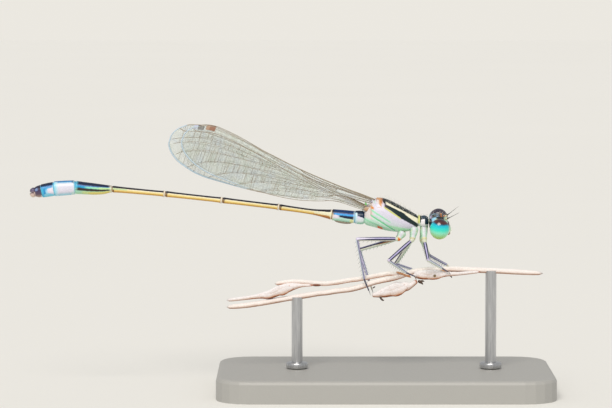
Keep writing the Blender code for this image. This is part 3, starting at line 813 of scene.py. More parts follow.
def genital_ridge():
    """The paired folds under the second segment."""
    rings = segment_rings("abdomen_2")
    # Share of the segment's length, radius, and depth below its middle in half heights
    shape = ((0.12, 0.03, 0.92), (0.22, 0.09, 0.98), (0.40, 0.12, 1.02), (0.60, 0.12, 1.04),
             (0.80, 0.10, 1.02), (0.92, 0.04, 0.94))
    folds = []
    for side in SIDES.values():
        path = []
        for share, _, drop in shape:
            centre, _, height = along_segment(rings, share)
            path.append(centre + Y * side * 0.10 * MM - Z * height * drop)
        folds.append(tapered("genital_fold", path, [radius for _, radius, _ in shape], section(10)))
    look = cuticle("fold cuticle, grey brown", evenly("#8C8474", "#9A8E7C", "#6F6558"))
    give(joined("genital_folds", folds), look, "abdomen_dark")


def claspers():
    """The short hooked pair above the tail end and the tapered pair below it, pressed together."""
    # Each pair's shell, its tones from its top to its underside, and its places: how far it has
    # reached, its radius, and how far it turns out and up
    pairs = {
        "cercus": (("#3A3450", "#6E6480", "#B49C9C"),
                   ((-0.06, 0.17, 0.0, 0.0), (0.06, 0.20, -0.01, 0.0), (0.14, 0.19, -0.02, -0.03),
                    (0.21, 0.14, -0.05, -0.08), (0.26, 0.06, -0.07, -0.14))),
        "paraproct": (("#8A7480", "#CBB4A8", "#E6D6C2"),
                      ((-0.06, 0.17, 0.0, 0.0), (0.06, 0.19, -0.01, 0.01), (0.15, 0.17, -0.02, 0.04),
                       (0.23, 0.10, -0.04, 0.09), (0.30, 0.035, -0.05, 0.13))),
    }
    centre = segment_rings("abdomen_10")[-1][0]
    for pair, (tones, shape) in pairs.items():
        tip = ("#4A4048", 0.86, 1.1, -0.1, 1.1, -0.1, 1.1)
        look = cuticle(f"{pair} cuticle", evenly(*tones), marks=(tip,))
        for side, sign in SIDES.items():
            node = f"{pair}_{side}"
            root = box_middle(node)
            root.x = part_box(node)[1].x
            path = [root + Vector((-along, out * sign, up)) * MM for along, _, out, up in shape]
            path[0] = path[0].lerp(centre, 0.2)
            radii = [radius for _, radius, _, _ in shape]
            piece = tapered(f"{node}_shell", path, radii, section(10), levels=2, flat=0.85)
            give(piece, look, "abdomen_dark", node)


# Head


def head_frame():
    """The matrix from the head's own millimetres to the frame: its y runs through both eyes."""
    left, right = box_middle("eye_left"), box_middle("eye_right")
    across = (left - right).normalized()
    axes = Matrix((X, across, X.cross(across))).transposed().to_4x4()
    return Matrix.Translation((left + right) / 2) @ axes @ Matrix.Scale(MM, 4)


def head():
    """The skull, the plates of the face, the lip, three small eyes, two compound eyes and the feelers."""
    own = head_frame()
    turn = own.to_3x3().normalized()
    up, across = turn.col[2].normalized(), turn.col[1].normalized()

    def at(x, y, z):
        return own @ Vector((x, y, z))

    def bump(name, centre, size, lean=0):
        return lump(name, placed(at(*centre), size, turn @ leaning(lean)), levels=3)

    # Each ring is x, the heights of its top and bottom, and its half width
    skull_rings = [(at(x, 0, (top + bottom) / 2), width * MM, (top - bottom) / 2 * MM)
                   for x, top, bottom, width in (
                       (-0.72, 0.30, -0.16, 0.40), (-0.64, 0.52, -0.34, 0.74), (-0.42, 0.64, -0.46, 0.92),
                       (-0.12, 0.68, -0.52, 0.97), (0.14, 0.67, -0.56, 0.94), (0.34, 0.60, -0.58, 0.84),
                       (0.48, 0.46, -0.58, 0.72), (0.58, 0.30, -0.54, 0.60), (0.64, 0.12, -0.48, 0.50))]
    skull = loft("head_shell", skull_rings, section(28, power=2.5), top=up, upright=X, levels=2)
    head_map(skull, own)
    look = cuticle(
        "head cuticle, black crown and mint face",
        ((0.0, "#101C22"), (0.30, "#14242A"), (0.46, "#B7E6CC"), (0.75, "#C9ECD2"), (1.0, "#D6E4C0")),
        marks=(
            ("#9AD4F2", 0.34, 0.82, -0.56, -0.22, -0.50, -0.18),  # pale blue spot behind each eye
            ("#B9A9DC", -0.2, 0.24, -0.66, -0.54, -0.66, -0.54),
            ("#E4DC6C", 0.56, 0.86, -0.30, -0.14, -0.26, -0.10),
            ("#8FB4D8", 0.10, 0.26, -0.20, -0.06, -0.20, -0.06),
            ("#A9E6C4", -0.1, 1.1, 0.44, 0.80, 0.44, 0.80),  # mint brow
        ),
        blur=(0.16, 0.12))
    give(skull, look, "shell_dark", "head")

    black = cuticle("clypeus cuticle, glossy blue black", evenly("#14232B", "#0E171C"),
                    shine=0.2, coat=0.5)
    mint = cuticle("face cuticle, mint", evenly("#BFEBD0", "#A6DFC0", "#D8E9B8"))
    give_plain(bump("postclypeus", (0.62, 0, -0.02), (0.13, 0.53, 0.14), 10), black, "shell_dark")
    jaws = [bump("anteclypeus", (0.69, 0, -0.21), (0.15, 0.38, 0.10), 20),
            bump("labrum", (0.69, 0, -0.42), (0.17, 0.37, 0.18), 30)]
    for side in SIDES.values():
        jaws.append(bump("mandible", (0.48, 0.40 * side, -0.44), (0.25, 0.15, 0.22), 10))
        jaws.append(bump("cheek", (0.50, 0.50 * side, -0.06), (0.16, 0.16, 0.28)))
    give_plain(joined("face_plates", jaws), mint, "thorax_green", "mouthparts")
    straw = cuticle("lip cuticle, straw",
                    ((0.0, "#D9D3B4"), (0.5, "#C9BE97"), (0.8, "#9A6A50"), (1.0, "#7A4838")))
    lip = [bump("labium", (0.40, 0, -0.66), (0.36, 0.32, 0.16), -14)]
    lip += [bump("palp", (0.68, 0.15 * side, -0.64), (0.14, 0.16, 0.13), -30) for side in SIDES.values()]
    give_plain(joined("labium", lip), straw, "abdomen_straw")

    amber = cuticle("ocellus lens, amber", evenly("#E8923A", "#B85A1E"), shine=0.06, coat=1.0)
    ocelli = [bump("ocellus", (0.36, 0, 0.60), (0.07, 0.07, 0.06))]
    ocelli += [bump("ocellus", (0.14, 0.20 * side, 0.66), (0.065, 0.065, 0.06)) for side in SIDES.values()]
    give_plain(joined("ocelli", ocelli), amber, "eye_turquoise")

    lens = eye_look(own.translation, across)
    bristle = cuticle("antenna cuticle, black with pale base", evenly("#26282C", "#4A4A48"),
                      marks=(("#C9BE9A", -0.1, 0.16, -0.1, 1.1, -0.1, 1.1),))
    for side, sign in SIDES.items():
        eye(side, up, lens)
        antenna(side, at(0.44, 0.30 * sign, 0.46), bristle)


def head_map(piece, own):
    """Writes the lie map in the head's own millimetres: distance from its middle plane, and x."""
    back = own.inverted()
    write_map(piece, "lie", lambda _, place: (abs((back @ place).y), (back @ place).x))


def eye(side, up, look):
    """A compound eye, lofted from its foot to its crown."""
    low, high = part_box(f"eye_{side}")
    centre = (low + high) / 2
    depth = (high.x - low.x) / 2
    rings = []
    for i in range(EYE_RINGS):
        lean = math.pi * (i / (EYE_RINGS - 1) - 0.5)
        reach = max(math.cos(lean), EYE_END)
        middle_of_ring = centre + up * math.sin(lean) * EYE_HALF_HEIGHT * MM
        rings.append((middle_of_ring, EYE_HALF_WIDTH * MM * reach, depth * reach))
    piece = loft(f"compound_eye_{side}", rings, section(24), top=X, upright=up, levels=2, angle=180)
    give(piece, look, "eye_turquoise", f"eye_{side}")


EYE_HALF_WIDTH, EYE_HALF_HEIGHT = 0.62, 0.76
EYE_RINGS = 13
EYE_END = 0.12  # the radius of its first and last ring, as a share of its half width
# How far its cap's edge strays, rises towards the back and comes down towards the other eye, as shares of
# the eye's height
CAP_STRAY, CAP_RISE, CAP_INNER_DROP = 0.09, 0.13, 0.24
# Its inner colours start so many millimetres outside its middle, and are full so many inside it
INNER_START, INNER_END = 0.10, 0.25


def eye_look(head_middle, across):
    """A compound eye: many tiny clear lenses of chitin over coloured pigment, so it shines like wet glass."""
    made, tree, shader = blank("compound eye, maroon cap over turquoise")
    along, around = lie_of(tree)
    height = worked(tree, "MULTIPLY_ADD", grain(tree, 0.35), CAP_STRAY, along)
    # Around is 0 at the front of the eye
    height = worked(tree, "MULTIPLY_ADD", around, -CAP_RISE, height)
    sideways = add(tree, "ShaderNodeVectorMath", {0: object_place(tree), 1: across},
                   operation="DOT_PRODUCT").outputs["Value"]
    apart = worked(tree, "ABSOLUTE", worked(tree, "SUBTRACT", sideways, head_middle.dot(across)))
    eye_middle = abs((box_middle("eye_left") - head_middle).dot(across))
    inward = ranged(tree, apart, eye_middle + INNER_START * MM, eye_middle - INNER_END * MM)
    height = worked(tree, "MULTIPLY_ADD", inward, CAP_INNER_DROP, height)
    outer = toned(tree, height, (
        (0.0, "#93BC38"), (0.12, "#B4E25E"), (0.22, "#B6F6A8"), (0.40, "#98FAD4"), (0.54, "#2CECD0"),
        (0.66, "#04DCDC"), (0.76, "#06BEDA"), (0.81, "#12607C"), (0.845, "#4A1A20"), (0.90, "#521C1C"),
        (1.0, "#1B1C30")))
    # Towards the other eye the cap is violet grey
    inner = toned(tree, height, (
        (0.0, "#93BC38"), (0.12, "#B4E25E"), (0.22, "#B6F6A8"), (0.40, "#8CE4C4"), (0.54, "#2CC8B8"),
        (0.66, "#10B4BC"), (0.74, "#1C98AC"), (0.80, "#3A5C78"), (0.86, "#40405E"), (0.95, "#34304C"),
        (1.0, "#32283C")))
    facets = add(tree, "ShaderNodeTexVoronoi", {"Vector": object_place(tree), "Scale": 1 / (0.045 * MM)})
    relief = facets.outputs["Distance"]
    # The colour darkens where the facet relief sinks, as painted shade between the facets
    colour = scaled(tree, blend(tree, inward, outer, inner), ranged(tree, relief, 0.0, 0.7, 1.06, 0.86))
    finish(shader, Base_Color=colour, Normal=bumpy(tree, relief, 0.12, 0.006, invert=True), Roughness=0.20,
           Coat_Weight=0.55, Coat_Roughness=0.11, IOR=1.5)
    return made


def antenna(side, root, look):
    """A short thick scape and pedicel, and a bristle that thins to its tip."""
    node = f"antenna_{side}"
    low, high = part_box(node)
    tip = Vector((high.x - CAD_LEG_RADIUS * 0.6, (low.y + high.y) / 2, high.z - CAD_LEG_RADIUS))
    shape = ((-0.04, 0.07), (0.03, 0.080), (0.10, 0.070), (0.12, 0.042), (0.14, 0.055), (0.24, 0.046),
             (0.27, 0.022), (0.55, 0.016), (0.80, 0.011), (1.0, 0.006))
    path = [root + (tip - root) * share + Z * FEELER_LIFT * MM * share * share for share, _ in shape]
    piece = tapered(f"feeler_{side}", path, [radius for _, radius in shape], section(10))
    give(piece, look, "shell_dark", node)


FEELER_LIFT = 0.10  # how far a feeler's curve lifts its tip


# Legs


# How far outwards and up the top of each leg's section faces, where its stripe and the stripe's painted
# highlight lie; it is set for each leg on its own
LEG_ROLLS = {"front_left": (0.4, 1.0), "front_right": (1.0, 0.05), "mid_left": (-0.5, 1.0),
             "mid_right": (1.0, 0.35), "hind_left": (-0.5, 1.0), "hind_right": (1.0, 0.55)}
# How far forwards, outwards and up each shin's painted lilac highlight, between its thin dark lines, faces
SHIN_ROLLS = {"front_left": (0, -1.0, 0.45), "front_right": (0, 0.5, 1.0), "mid_left": (0, -0.8, 0.8),
              "mid_right": (0, 0.7, 1.0), "hind_left": (-0.2, -1.0, 0), "hind_right": (0.8, 1.0, 0)}


def leg_finishes():
    """The finish of each part of a leg, and the two femurs that differ from the others."""
    # The lilac at the top of each femur's and shin's stripe is a painted highlight down its middle; the dark
    # lines beside it are the stripe itself
    stripes_with_highlight = ((0.0, "#C2BBE0"), (0.08, "#A29CC6"), (0.13, "#34365A"), (0.25, "#262840"), (0.30, "#3A3C50"),
               (0.35, "#E8E8DC"), (0.55, "#E2E8D8"), (0.75, "#C4E6CC"), (1.0, "#D2E4C8"))
    ends = (("#D5CFE6", -0.1, 0.03, -0.1, 0.6, -0.1, 0.6), ("#D2C9E0", 0.95, 1.1, -0.1, 0.45, -0.1, 0.5))
    # The lilac white patch on the top of the hind right femur, towards its knee, is a painted highlight
    lilac = ("#D9D3EA", 0.45, 1.1, -0.1, -0.02, -0.1, 0.30)
    brown = ("#96602E", -0.1, 0.50, 0.22, 0.60, 0.33, 0.38)
    femurs = {}
    for femur, tone, marks in (("femur", "cream with a lilac grey stripe", ends),
                               ("femur_hind_right", "lilac white towards the knee", (*ends, lilac)),
                               ("femur_hind_left", "brown towards the hip", (*ends, brown))):
        femurs[femur] = cuticle(f"leg cuticle, {tone}", stripes_with_highlight, marks=marks, blur=(0.04, 0.06), waver=0.04)
    return femurs | {
        "tibia": cuticle(
            "shin cuticle, pale lilac and mint with thin dark lines",
            ((0.0, "#CFC9E4"), (0.10, "#AFAACE"), (0.15, "#42446A"), (0.22, "#3A3C5C"), (0.28, "#B8BED6"),
             (0.42, "#D3DEE8"), (0.65, "#E0E8D8"), (1.0, "#D8E0C0")),
            marks=(("#BDB6D2", -0.1, 0.03, -0.1, 0.6, -0.1, 0.6),), waver=0.04),
        "coxa": cuticle(
            "coxa cuticle, mint white",
            ((0.0, "#D6D2E0"), (0.14, "#D2DED8"), (0.34, "#B4E6C4"), (0.60, "#A9E3BC"), (1.0, "#B8E2B4")),
            marks=(("#DFCFA4", 0.30, 0.48, 0.16, 0.24, 0.40, 0.48),
                   ("#D8A46E", 0.52, 1.1, 0.50, 0.58, 0.44, 0.54),
                   ("#DAD6B0", 0.84, 1.1, -0.1, 1.1, -0.1, 1.1)), blur=(0.06, 0.07)),
        "trochanter": cuticle("trochanter cuticle, cream", evenly("#D8D6C4", "#CFDDBE", "#C4E0BC")),
        "trochanter_hind": cuticle(
            "trochanter cuticle, cream with an orange spot",
            evenly("#D6DCC0", "#CBE2C2", "#C4E0BC"),
            marks=(("#E2762E", 0.05, 0.62, -0.1, 0.52, -0.1, 0.40),), blur=(0.16, 0.14)),
        "tarsus": cuticle("foot cuticle, dark grey and cream",
                          ((0.0, "#4A4A5E"), (0.42, "#565468"), (0.54, "#CFC9BC"), (1.0, "#D6D2BC"))),
        "spines": cuticle("spine cuticle, black", evenly("#201C1E", "#2B2422"), shine=0.3),
    }


# Shapes of a leg's parts, as (share of the way from joint to joint, radius)
COXA = ((-0.30, 0.24), (-0.12, 0.30), (0.15, 0.29), (0.42, 0.26), (0.58, 0.22), (0.66, 0.20), (0.74, 0.22),
        (0.92, 0.20), (1.04, 0.15))
TROCHANTER = ((0.0, 0.12), (0.2, 0.165), (0.5, 0.172), (0.75, 0.165), (0.9, 0.14), (1.0, 0.13))
FEMUR = ((0.0, 0.12), (0.06, 0.15), (0.2, 0.168), (0.45, 0.165), (0.75, 0.148), (0.92, 0.138), (0.97, 0.150),
         (1.01, 0.135), (1.035, 0.08))
TIBIA = ((-0.03, 0.06), (0.0, 0.12), (0.05, 0.13), (0.10, 0.108), (0.5, 0.100), (0.9, 0.090), (0.97, 0.100),
         (1.0, 0.08))
TARSUS = ((-0.05, 0.05), (0.0, 0.075), (0.10, 0.06), (0.22, 0.07), (0.25, 0.045), (0.27, 0.06), (0.34, 0.055),
          (0.52, 0.065), (0.55, 0.04), (0.57, 0.055), (0.8, 0.048), (0.92, 0.055), (1.0, 0.03))
HIP_SHARES = {"front": -0.35, "mid": -0.05, "hind": 0.15}  # where each coxa starts, as a share of its node
HIP_SINK = 0.14  # and how much nearer to the middle plane, in millimetres
CAD_COXA_RADIUS = 0.32


def legs():
    """Six legs, each a coxa, trochanter, femur, tibia and clawed foot of three parts, with rows of spines.

    Hip, turn, knee and ankle are the joints from the body outwards, and claw is the foot's end.
    """
    finishes = leg_finishes()
    body = box_middle("thorax")
    for side, sign in SIDES.items():
        for place, hip_share in HIP_SHARES.items():
            which = f"{place}_{side}"
            node = f"leg_{which}"
            turn = limb_end(f"{node}_coxa", body, CAD_COXA_RADIUS)
            hip = limb_end(f"{node}_coxa", turn, CAD_COXA_RADIUS)
            knee = limb_end(f"{node}_femur", turn)
            ankle = limb_end(f"{node}_tibia", knee)
            claw = limb_end(f"{node}_tarsus", ankle)
            out, lift = LEG_ROLLS[which]
            outer = Vector((0, sign * out, lift)).normalized()
            forwards, outwards, upwards = SHIN_ROLLS[which]
            shin_top = Vector((forwards, sign * outwards, upwards))
            hip = hip.lerp(turn, hip_share) - Y * sign * HIP_SINK * MM
            coxa = limb(f"coxa_{which}", hip, turn, COXA, outer)
            give(coxa, finishes["coxa"], "thorax_green", f"{node}_coxa")
            along = (knee - turn).normalized() * MM
            joint = limb(f"trochanter_{which}", turn - along * 0.13, turn + along * 0.22, TROCHANTER, outer)
            give(joint, finishes.get(f"trochanter_{place}", finishes["trochanter"]), "leg_grey")
            femur = limb(f"femur_{which}", turn + along * 0.16, knee, FEMUR, outer)
            give(femur, finishes.get(f"femur_{which}", finishes["femur"]), "leg_grey", f"{node}_femur")
            tibia = limb(f"tibia_{which}", knee, ankle, TIBIA, shin_top)
            give(tibia, finishes["tibia"], "leg_grey", f"{node}_tibia")
            foot = tarsus(f"tarsus_{which}", ankle, claw, Vector((0, sign, 0.6)))
            give(foot, finishes["tarsus"], "leg_grey", f"{node}_tarsus")
            bristles = thorns(turn + along * 0.4, knee, outer, 8, length=0.22, radius=0.14, splay=0.8)
            bristles += thorns(knee, ankle, outer, 9, length=0.36, radius=0.08, splay=0.75)
            give_plain(joined(f"spines_{which}", bristles), finishes["spines"], "shell_dark")


def limb(name, start, end, shape, outer):
    """A round limb between two joints, whose section's top faces outer as nearly as it can."""
    points = [start.lerp(end, share) for share, _ in shape]
    way = (end - start).normalized()
    top = (outer - way * outer.dot(way)).normalized()
    return tapered(name, points, [radius for _, radius in shape], section(12), top=top)


def tarsus(name, ankle, claw, outer):
    """Three foot segments, each swollen at its end, and a pair of hooked claws."""
    parts = [limb(name, ankle, claw, TARSUS, outer)]
    way = (claw - ankle).normalized()
    for sign in SIDES.values():
        # How far the hook has reached along the foot, aside and up
        hook = [claw + (way * reach + Y * sign * aside + Z * rise) * MM for reach, aside, rise in (
            (-0.05, 0, 0), (0.10, 0.06, 0.03), (0.20, 0.10, -0.02), (0.25, 0.11, -0.10))]
        parts.append(tapered("claw", hook, (0.03, 0.028, 0.018, 0.006), section(6)))
    return joined(name, parts)


def thorns(start, end, outer, count, length, radius, splay):
    """Two rows of spines on the inner side of a limb of that radius; splay leans them towards its end."""
    way = (end - start).normalized()
    inner = -(outer - way * outer.dot(way)).normalized()
    across = way.cross(inner)
    pattern = thorn_pattern()
    made = []
    for row in (-1, 1):
        for i in range(count):
            share = (i + 0.7 + 0.25 * row) / (count + 0.8)
            facing = (inner * 0.75 + across * row * 0.66).normalized()
            lean = (facing + way * splay).normalized()
            base = start.lerp(end, share) + facing * radius * 0.8 * MM
            reach = length * (0.75 + 0.5 * math.sin(math.pi * share)) * random.uniform(0.85, 1.1)
            made.append(copy_of(pattern, pointing(base, lean, reach, THORN_RADIUS)))
    removed(pattern)
    return made


THORN_RADIUS = 0.014


def thorn_pattern():
    """A unit spine along z, a three-sided cone."""
    pattern = primitive("thorn", bpy.ops.mesh.primitive_cone_add, vertices=3, radius1=1, radius2=0.12,
                        depth=1, location=(0, 0, 0.5))
    bpy.ops.object.transform_apply(location=True)
    return pattern


def pointing(base, way, length_mm, radius_mm):
    """The matrix that stands a unit spine on a base, along a direction."""
    return placed(base, (radius_mm, radius_mm, length_mm), way.to_track_quat("Z", "Y").to_matrix())


# Hairs


def hairs():
    """Fine pale hairs on the back of the thorax, the collar, the crown and the face."""
    made, tree, shader = blank("hair, chitin, fine and pale")
    tone = toned(tree, grain(tree, 0.3), ((0.3, "#E4E2D4"), (0.7, "#F4F2EA")))
    finish(shader, Base_Color=tone, Roughness=0.45, IOR=1.54)
    # Each coat is its piece, number of hairs, their length, where they grow, by the way that the surface
    # faces and the place, and their radius
    coats = (("thorax_shell", 240, 0.40, lambda n, p: n.z > 0.55 and p.x > -0.3 * MM, 0.0048),
             ("collar_shell", 80, 0.28, lambda n, p: n.z > 0.2, 0.0052),
             ("head_shell", 140, 0.26, lambda n, p: n.z > 0.3, 0.0050),
             ("face_plates", 110, 0.22, lambda n, p: n.x > 0.3, 0.0050))
    for name, count, length, grows, radius in coats:
        give(coat_of(bpy.data.objects[name], count, length, grows, radius), made, "thorax_green")


HAIR_STRAY = 0.32  # how far each hair strays from upright
HAIR_SWEEP = 0.15  # how far all of them lean towards the tail


def coat_of(ground, count, length, grows, radius):
    """Hairs over the part of a piece that the test allows; each is a thin three-sided cone."""
    mesh = ground.data
    mesh.calc_loop_triangles()
    spots = [t for t in mesh.loop_triangles if grows(t.normal, t.center)]
    weights = [t.area for t in spots]
    pattern = thorn_pattern()
    made = []
    for spot in random.choices(spots, weights=weights, k=count):
        stray = Vector([random.uniform(-HAIR_STRAY, HAIR_STRAY) for _ in range(3)])
        lean = (spot.normal + stray - X * HAIR_SWEEP).normalized()
        reach = length * random.uniform(0.55, 1.1)
        made.append(copy_of(pattern, pointing(spot.center, lean, reach, radius)))
    corners = len(pattern.data.vertices)
    removed(pattern)
    piece = joined(f"hairs_of_{ground.name}", made)
    patch_map(piece, corners, shell_map(mesh))
    return piece


def shell_map(mesh):
    """A function from a place on a shell to a flat map of it: along the shell, and round it."""
    places = [v.co for v in mesh.vertices]
    low, high = (Vector([pick(p[i] for p in places) for i in range(3)]) for pick in (min, max))
    centre = (low + high) / 2

    def flat(place):
        turn = math.atan2(place.y - centre.y, place.z - centre.z) / (2 * math.pi) + 0.5
        spot = Vector(((place.x - low.x) / (high.x - low.x), turn))
        return spot * (1 - 2 * MAP_BORDER) + Vector((MAP_BORDER, MAP_BORDER))

    return flat


MAP_BORDER = 0.02  # left free round the map, so that each patch lies inside it


def patch_map(piece, corners, flat):
    """Gives each hair its own small patch on its coat's map, at its root's place on the shell's map."""
    places = [v.co for v in piece.data.vertices]
    # A cone's corners alternate between its root and its tip
    roots = [flat(middle(places[i:i + corners:2])) for i in range(0, len(places), corners)]

    def spot_of(number, _):
        hair, corner = divmod(number, corners)
        step, end = divmod(corner, 2)
        return roots[hair] + Vector((step / 2 - 0.5, end - 0.5)) * COAT_PATCH

    write_map(piece, "OFBake", spot_of)


COAT_PATCH = 0.003  # the size of a hair's patch on its coat's map


# Wings

# Each pair's length and rise towards the tail in degrees
WINGS = {"fore": (15.05, 16.8), "hind": (13.85, 21.0)}
WING_END_SHARE, WING_END_RISE = 0.999, 0.0048  # where the node's last station stands, in wing lengths
WING_ROOT = -0.080  # how far a wing goes on into the body, in wing lengths
PLEAT = 0.035  # depth of the folds between the main veins, in millimetres
PLEATS = 5  # half waves of the folds across the blade
CAMBER = 0.10  # how far the blade's hind edge stands out beyond its front edge, in millimetres
FLAT_ROOT, FLAT_TIP = 0.3, 0.15  # shares of the length over which folds grow and fade
ROOT_NARROWING = 7  # within the body a wing narrows by this share of itself for each wing length
ROOT_HEIGHTS = (0.012, -0.010)  # its front and hind edge where it leaves the body, in wing lengths
WELD_GAP = 0.0001 * MM  # corners nearer to each other than this are joined
NODUS = 0.365  # where the subcosta meets the front edge
# The wing cell: where it starts, changes colour and ends, and its rows across the blade
STIGMA_SPLITS = (0.858, 0.858 + (0.905 - 0.858) * 0.62, 0.905)
CELL_BREADTHS = (0.0, 0.035, 0.07, 0.10)
FILM_THICKNESS, CELL_THICKNESS = 0.012, 0.05  # the film is drawn thicker than it is
# Long veins as (share of length, share of breadth from the leading edge)
LONG_VEINS = {
    "subcosta": ((WING_ROOT, 0.22), (0.12, 0.20), (0.24, 0.12), (0.33, 0.06), (NODUS, 0.0)),
    "radius": ((WING_ROOT, 0.38), (0.0, 0.36), (0.08, 0.36), (0.17, 0.29), (0.28, 0.19), (0.40, 0.135),
               (0.60, 0.115), (0.80, 0.125), (0.88, 0.15), (0.94, 0.17), (0.972, 0.0)),
    "first sector": ((0.17, 0.40), (0.26, 0.30), (0.36, 0.235), (0.50, 0.21), (0.70, 0.225), (0.85, 0.27),
                     (0.94, 0.36), (0.990, 0.46)),
    "between first": ((0.62, 0.30), (0.74, 0.335), (0.86, 0.40), (0.94, 0.50), (0.975, 0.62)),
    "second sector": ((0.46, 0.225), (0.56, 0.31), (0.70, 0.42), (0.84, 0.54), (0.92, 0.70), (0.95, 0.88)),
    "between second": ((0.29, 0.31), (0.40, 0.36), (0.55, 0.45), (0.70, 0.58), (0.82, 0.74), (0.885, 1.0)),
    "third sector": ((0.27, 0.33), (0.38, 0.43), (0.52, 0.55), (0.64, 0.70), (0.73, 0.86), (0.775, 1.0)),
    "media": ((0.17, 0.42), (0.22, 0.50), (0.34, 0.54), (0.46, 0.64), (0.57, 0.80), (0.645, 1.0)),
    "hind media": ((0.17, 0.50), (0.20, 0.72), (0.26, 0.70), (0.36, 0.72), (0.45, 0.83), (0.53, 1.0)),
    "cubitus": ((WING_ROOT, 0.55), (0.10, 0.70), (0.17, 0.74), (0.20, 0.72)),
    "anal": ((WING_ROOT, 0.68), (0.02, 0.68), (0.10, 0.80), (0.16, 0.98), (0.20, 0.96)),
}
LONG_RADIUS, EDGE_RADIUS, CROSS_RADIUS = 0.0100, 0.017, 0.0092  # of veins, those along the front edge thicker
# Rows of cross veins: upper vein, lower vein, first and last share of length, and how many
CROSS_VEINS = (
    ("costa", "radius", 0.395, 0.848, 14), ("costa", "radius", 0.918, 0.958, 3),
    ("costa", "radius", 0.15, 0.26, 2), ("radius", "first sector", 0.30, 0.96, 22),
    ("first sector", "between first", 0.65, 0.965, 11), ("between first", "second sector", 0.66, 0.94, 10),
    ("first sector", "second sector", 0.49, 0.60, 5), ("second sector", "between second", 0.49, 0.90, 16),
    ("between second", "third sector", 0.33, 0.76, 16), ("third sector", "media", 0.33, 0.635, 12),
    ("media", "hind media", 0.21, 0.52, 10), ("hind media", "margin", 0.24, 0.51, 9),
    ("media", "margin", 0.55, 0.63, 3), ("third sector", "margin", 0.66, 0.76, 5),
    ("between second", "margin", 0.79, 0.875, 4), ("second sector", "margin", 0.90, 0.94, 2),
    ("radius", "media", 0.17, 0.171, 1),
)
# Plates at a wing's root: share of length, share of breadth, and half length and half height in millimetres
ROOT_PLATES = ((-0.022, 0.12, 0.34, 0.085), (-0.020, 0.66, 0.32, 0.150))
PLATE_HALF_THICKNESS = 0.075


class Wing:
    """One wing's own plane: places are a share of its length and a share of its breadth."""

    def __init__(self, pair, side):
        """Reads the wing's line and its edges from the corners of its node."""
        self.node = f"wing_{pair}_{side}"
        self.length, rise = WINGS[pair][0] * MM, math.radians(WINGS[pair][1])
        self.axis = Vector((-math.cos(rise), 0, math.sin(rise)))
        self.up = Vector((math.sin(rise), 0, math.cos(rise)))
        self.out = Y * SIDES[side]
        corners = corners_of(self.node)
        reach = max(c.dot(self.axis) for c in corners)
        tip = middle([c for c in corners if c.dot(self.axis) > reach - 0.02 * MM])
        self.root = tip - self.axis * self.length * WING_END_SHARE - self.up * self.length * WING_END_RISE
        self.root.y = 0
        groups = {}
        for corner in corners:
            offset = corner - self.root
            share = round(offset.dot(self.axis) / self.length, 3)
            groups.setdefault(share, []).append((offset.dot(self.up) / self.length, abs(corner.y)))
        # Each station is its share of the length, the heights of both edges, and its distance from the middle
        stations = [(share, max(h for h, _ in group), min(h for h, _ in group),
                     (max(y for _, y in group) + min(y for _, y in group)) / 2)
                    for share, group in sorted(groups.items()) if share > 0.05 and len(group) >= 6]
        stations.insert(0, (0.0, *ROOT_HEIGHTS, stations[0][3]))
        self.edges = curved([Vector(station[:3]) for station in stations], 3)
        self.edge_shares = [edge[0] for edge in self.edges]
        self.offsets = [(station[0], station[3]) for station in stations]

    def edges_at(self, share):
        """The heights of both edges at a share of the length."""
        i, t = stretch_at(self.edge_shares, share)
        return self.edges[i].lerp(self.edges[i + 1], t)[1:]

    def place(self, share, breadth):
        """The place of (share of length, share of breadth); the blade is pleated along its veins."""
        share = min(share, self.edge_shares[-1])
        outside = max(share, 0.0)
        lead, trail = self.edges_at(outside)
        # Within the body, where the share is below 0, the root narrows and runs in towards the middle
        inside = 1 + ROOT_NARROWING * min(share, 0.0)
        grown = min(outside / FLAT_ROOT, 1) * min((1 - share) / FLAT_TIP, 1)
        fold = math.sin(breadth * math.pi * PLEATS) * PLEAT * MM * grown
        camber = grown * CAMBER * MM * (breadth - 0.5)
        off = height_at(self.offsets, outside) * inside + fold + camber
        return (self.root + self.axis * share * self.length
                + self.up * (lead + (trail - lead) * breadth) * self.length * inside + self.out * off)

    def sheet(self, name, shares, breadths, thickness):
        """A thin sheet over part of the blade."""
        piece = primitive(name, bpy.ops.mesh.primitive_grid_add, x_subdivisions=len(shares) - 1,
                          y_subdivisions=len(breadths) - 1)
        for i, vertex in enumerate(piece.data.vertices):
            row, column = divmod(i, len(shares))
            vertex.co = self.place(shares[column], breadths[row])
        return apply(piece, "SOLIDIFY", thickness=thickness * MM, offset=0.0)

    def root_plate(self, share, breadth, length, height):
        """A plate of shell that the veins run into, lying in the blade's plane; its half sizes are in mm."""
        turn = Matrix((self.axis, self.up.cross(self.axis), self.up)).transposed()
        size = (length, PLATE_HALF_THICKNESS, height)
        return lump("root_plate", placed(self.place(share, breadth), size, turn))

    def netting(self, name, lines):
        """Fine round veins along lines of (points, radius of each point in millimetres)."""
        curve = bpy.data.curves.new(name, "CURVE")
        curve.dimensions = "3D"
        curve.bevel_depth = MM
        curve.bevel_resolution = 0
        curve.use_fill_caps = True
        for points, radii in lines:
            spline = curve.splines.new("POLY")
            spline.points.add(len(points) - 1)
            for point, (share, breadth), radius in zip(spline.points, points, radii):
                point.co = (*self.place(share, breadth), 1)
                point.radius = radius
        piece = bpy.data.objects.new(name, curve)
        bpy.context.scene.collection.objects.link(piece)
        activate(piece)
        bpy.ops.object.convert(target="MESH")
        made = apply(bpy.context.object, "WELD", merge_threshold=WELD_GAP)  # closes the capped ends
        made.data.shade_smooth()
        return made


def breadth_of(vein, share):
    """How far across the blade a long vein or an edge is at a share of its length."""
    if vein in BLADE_EDGES:
        return BLADE_EDGES[vein]
    points = LONG_VEINS[vein]
    return height_at(points, min(max(share, points[0][0]), points[-1][0]))


BLADE_EDGES = {"costa": 0.0, "margin": 1.0}


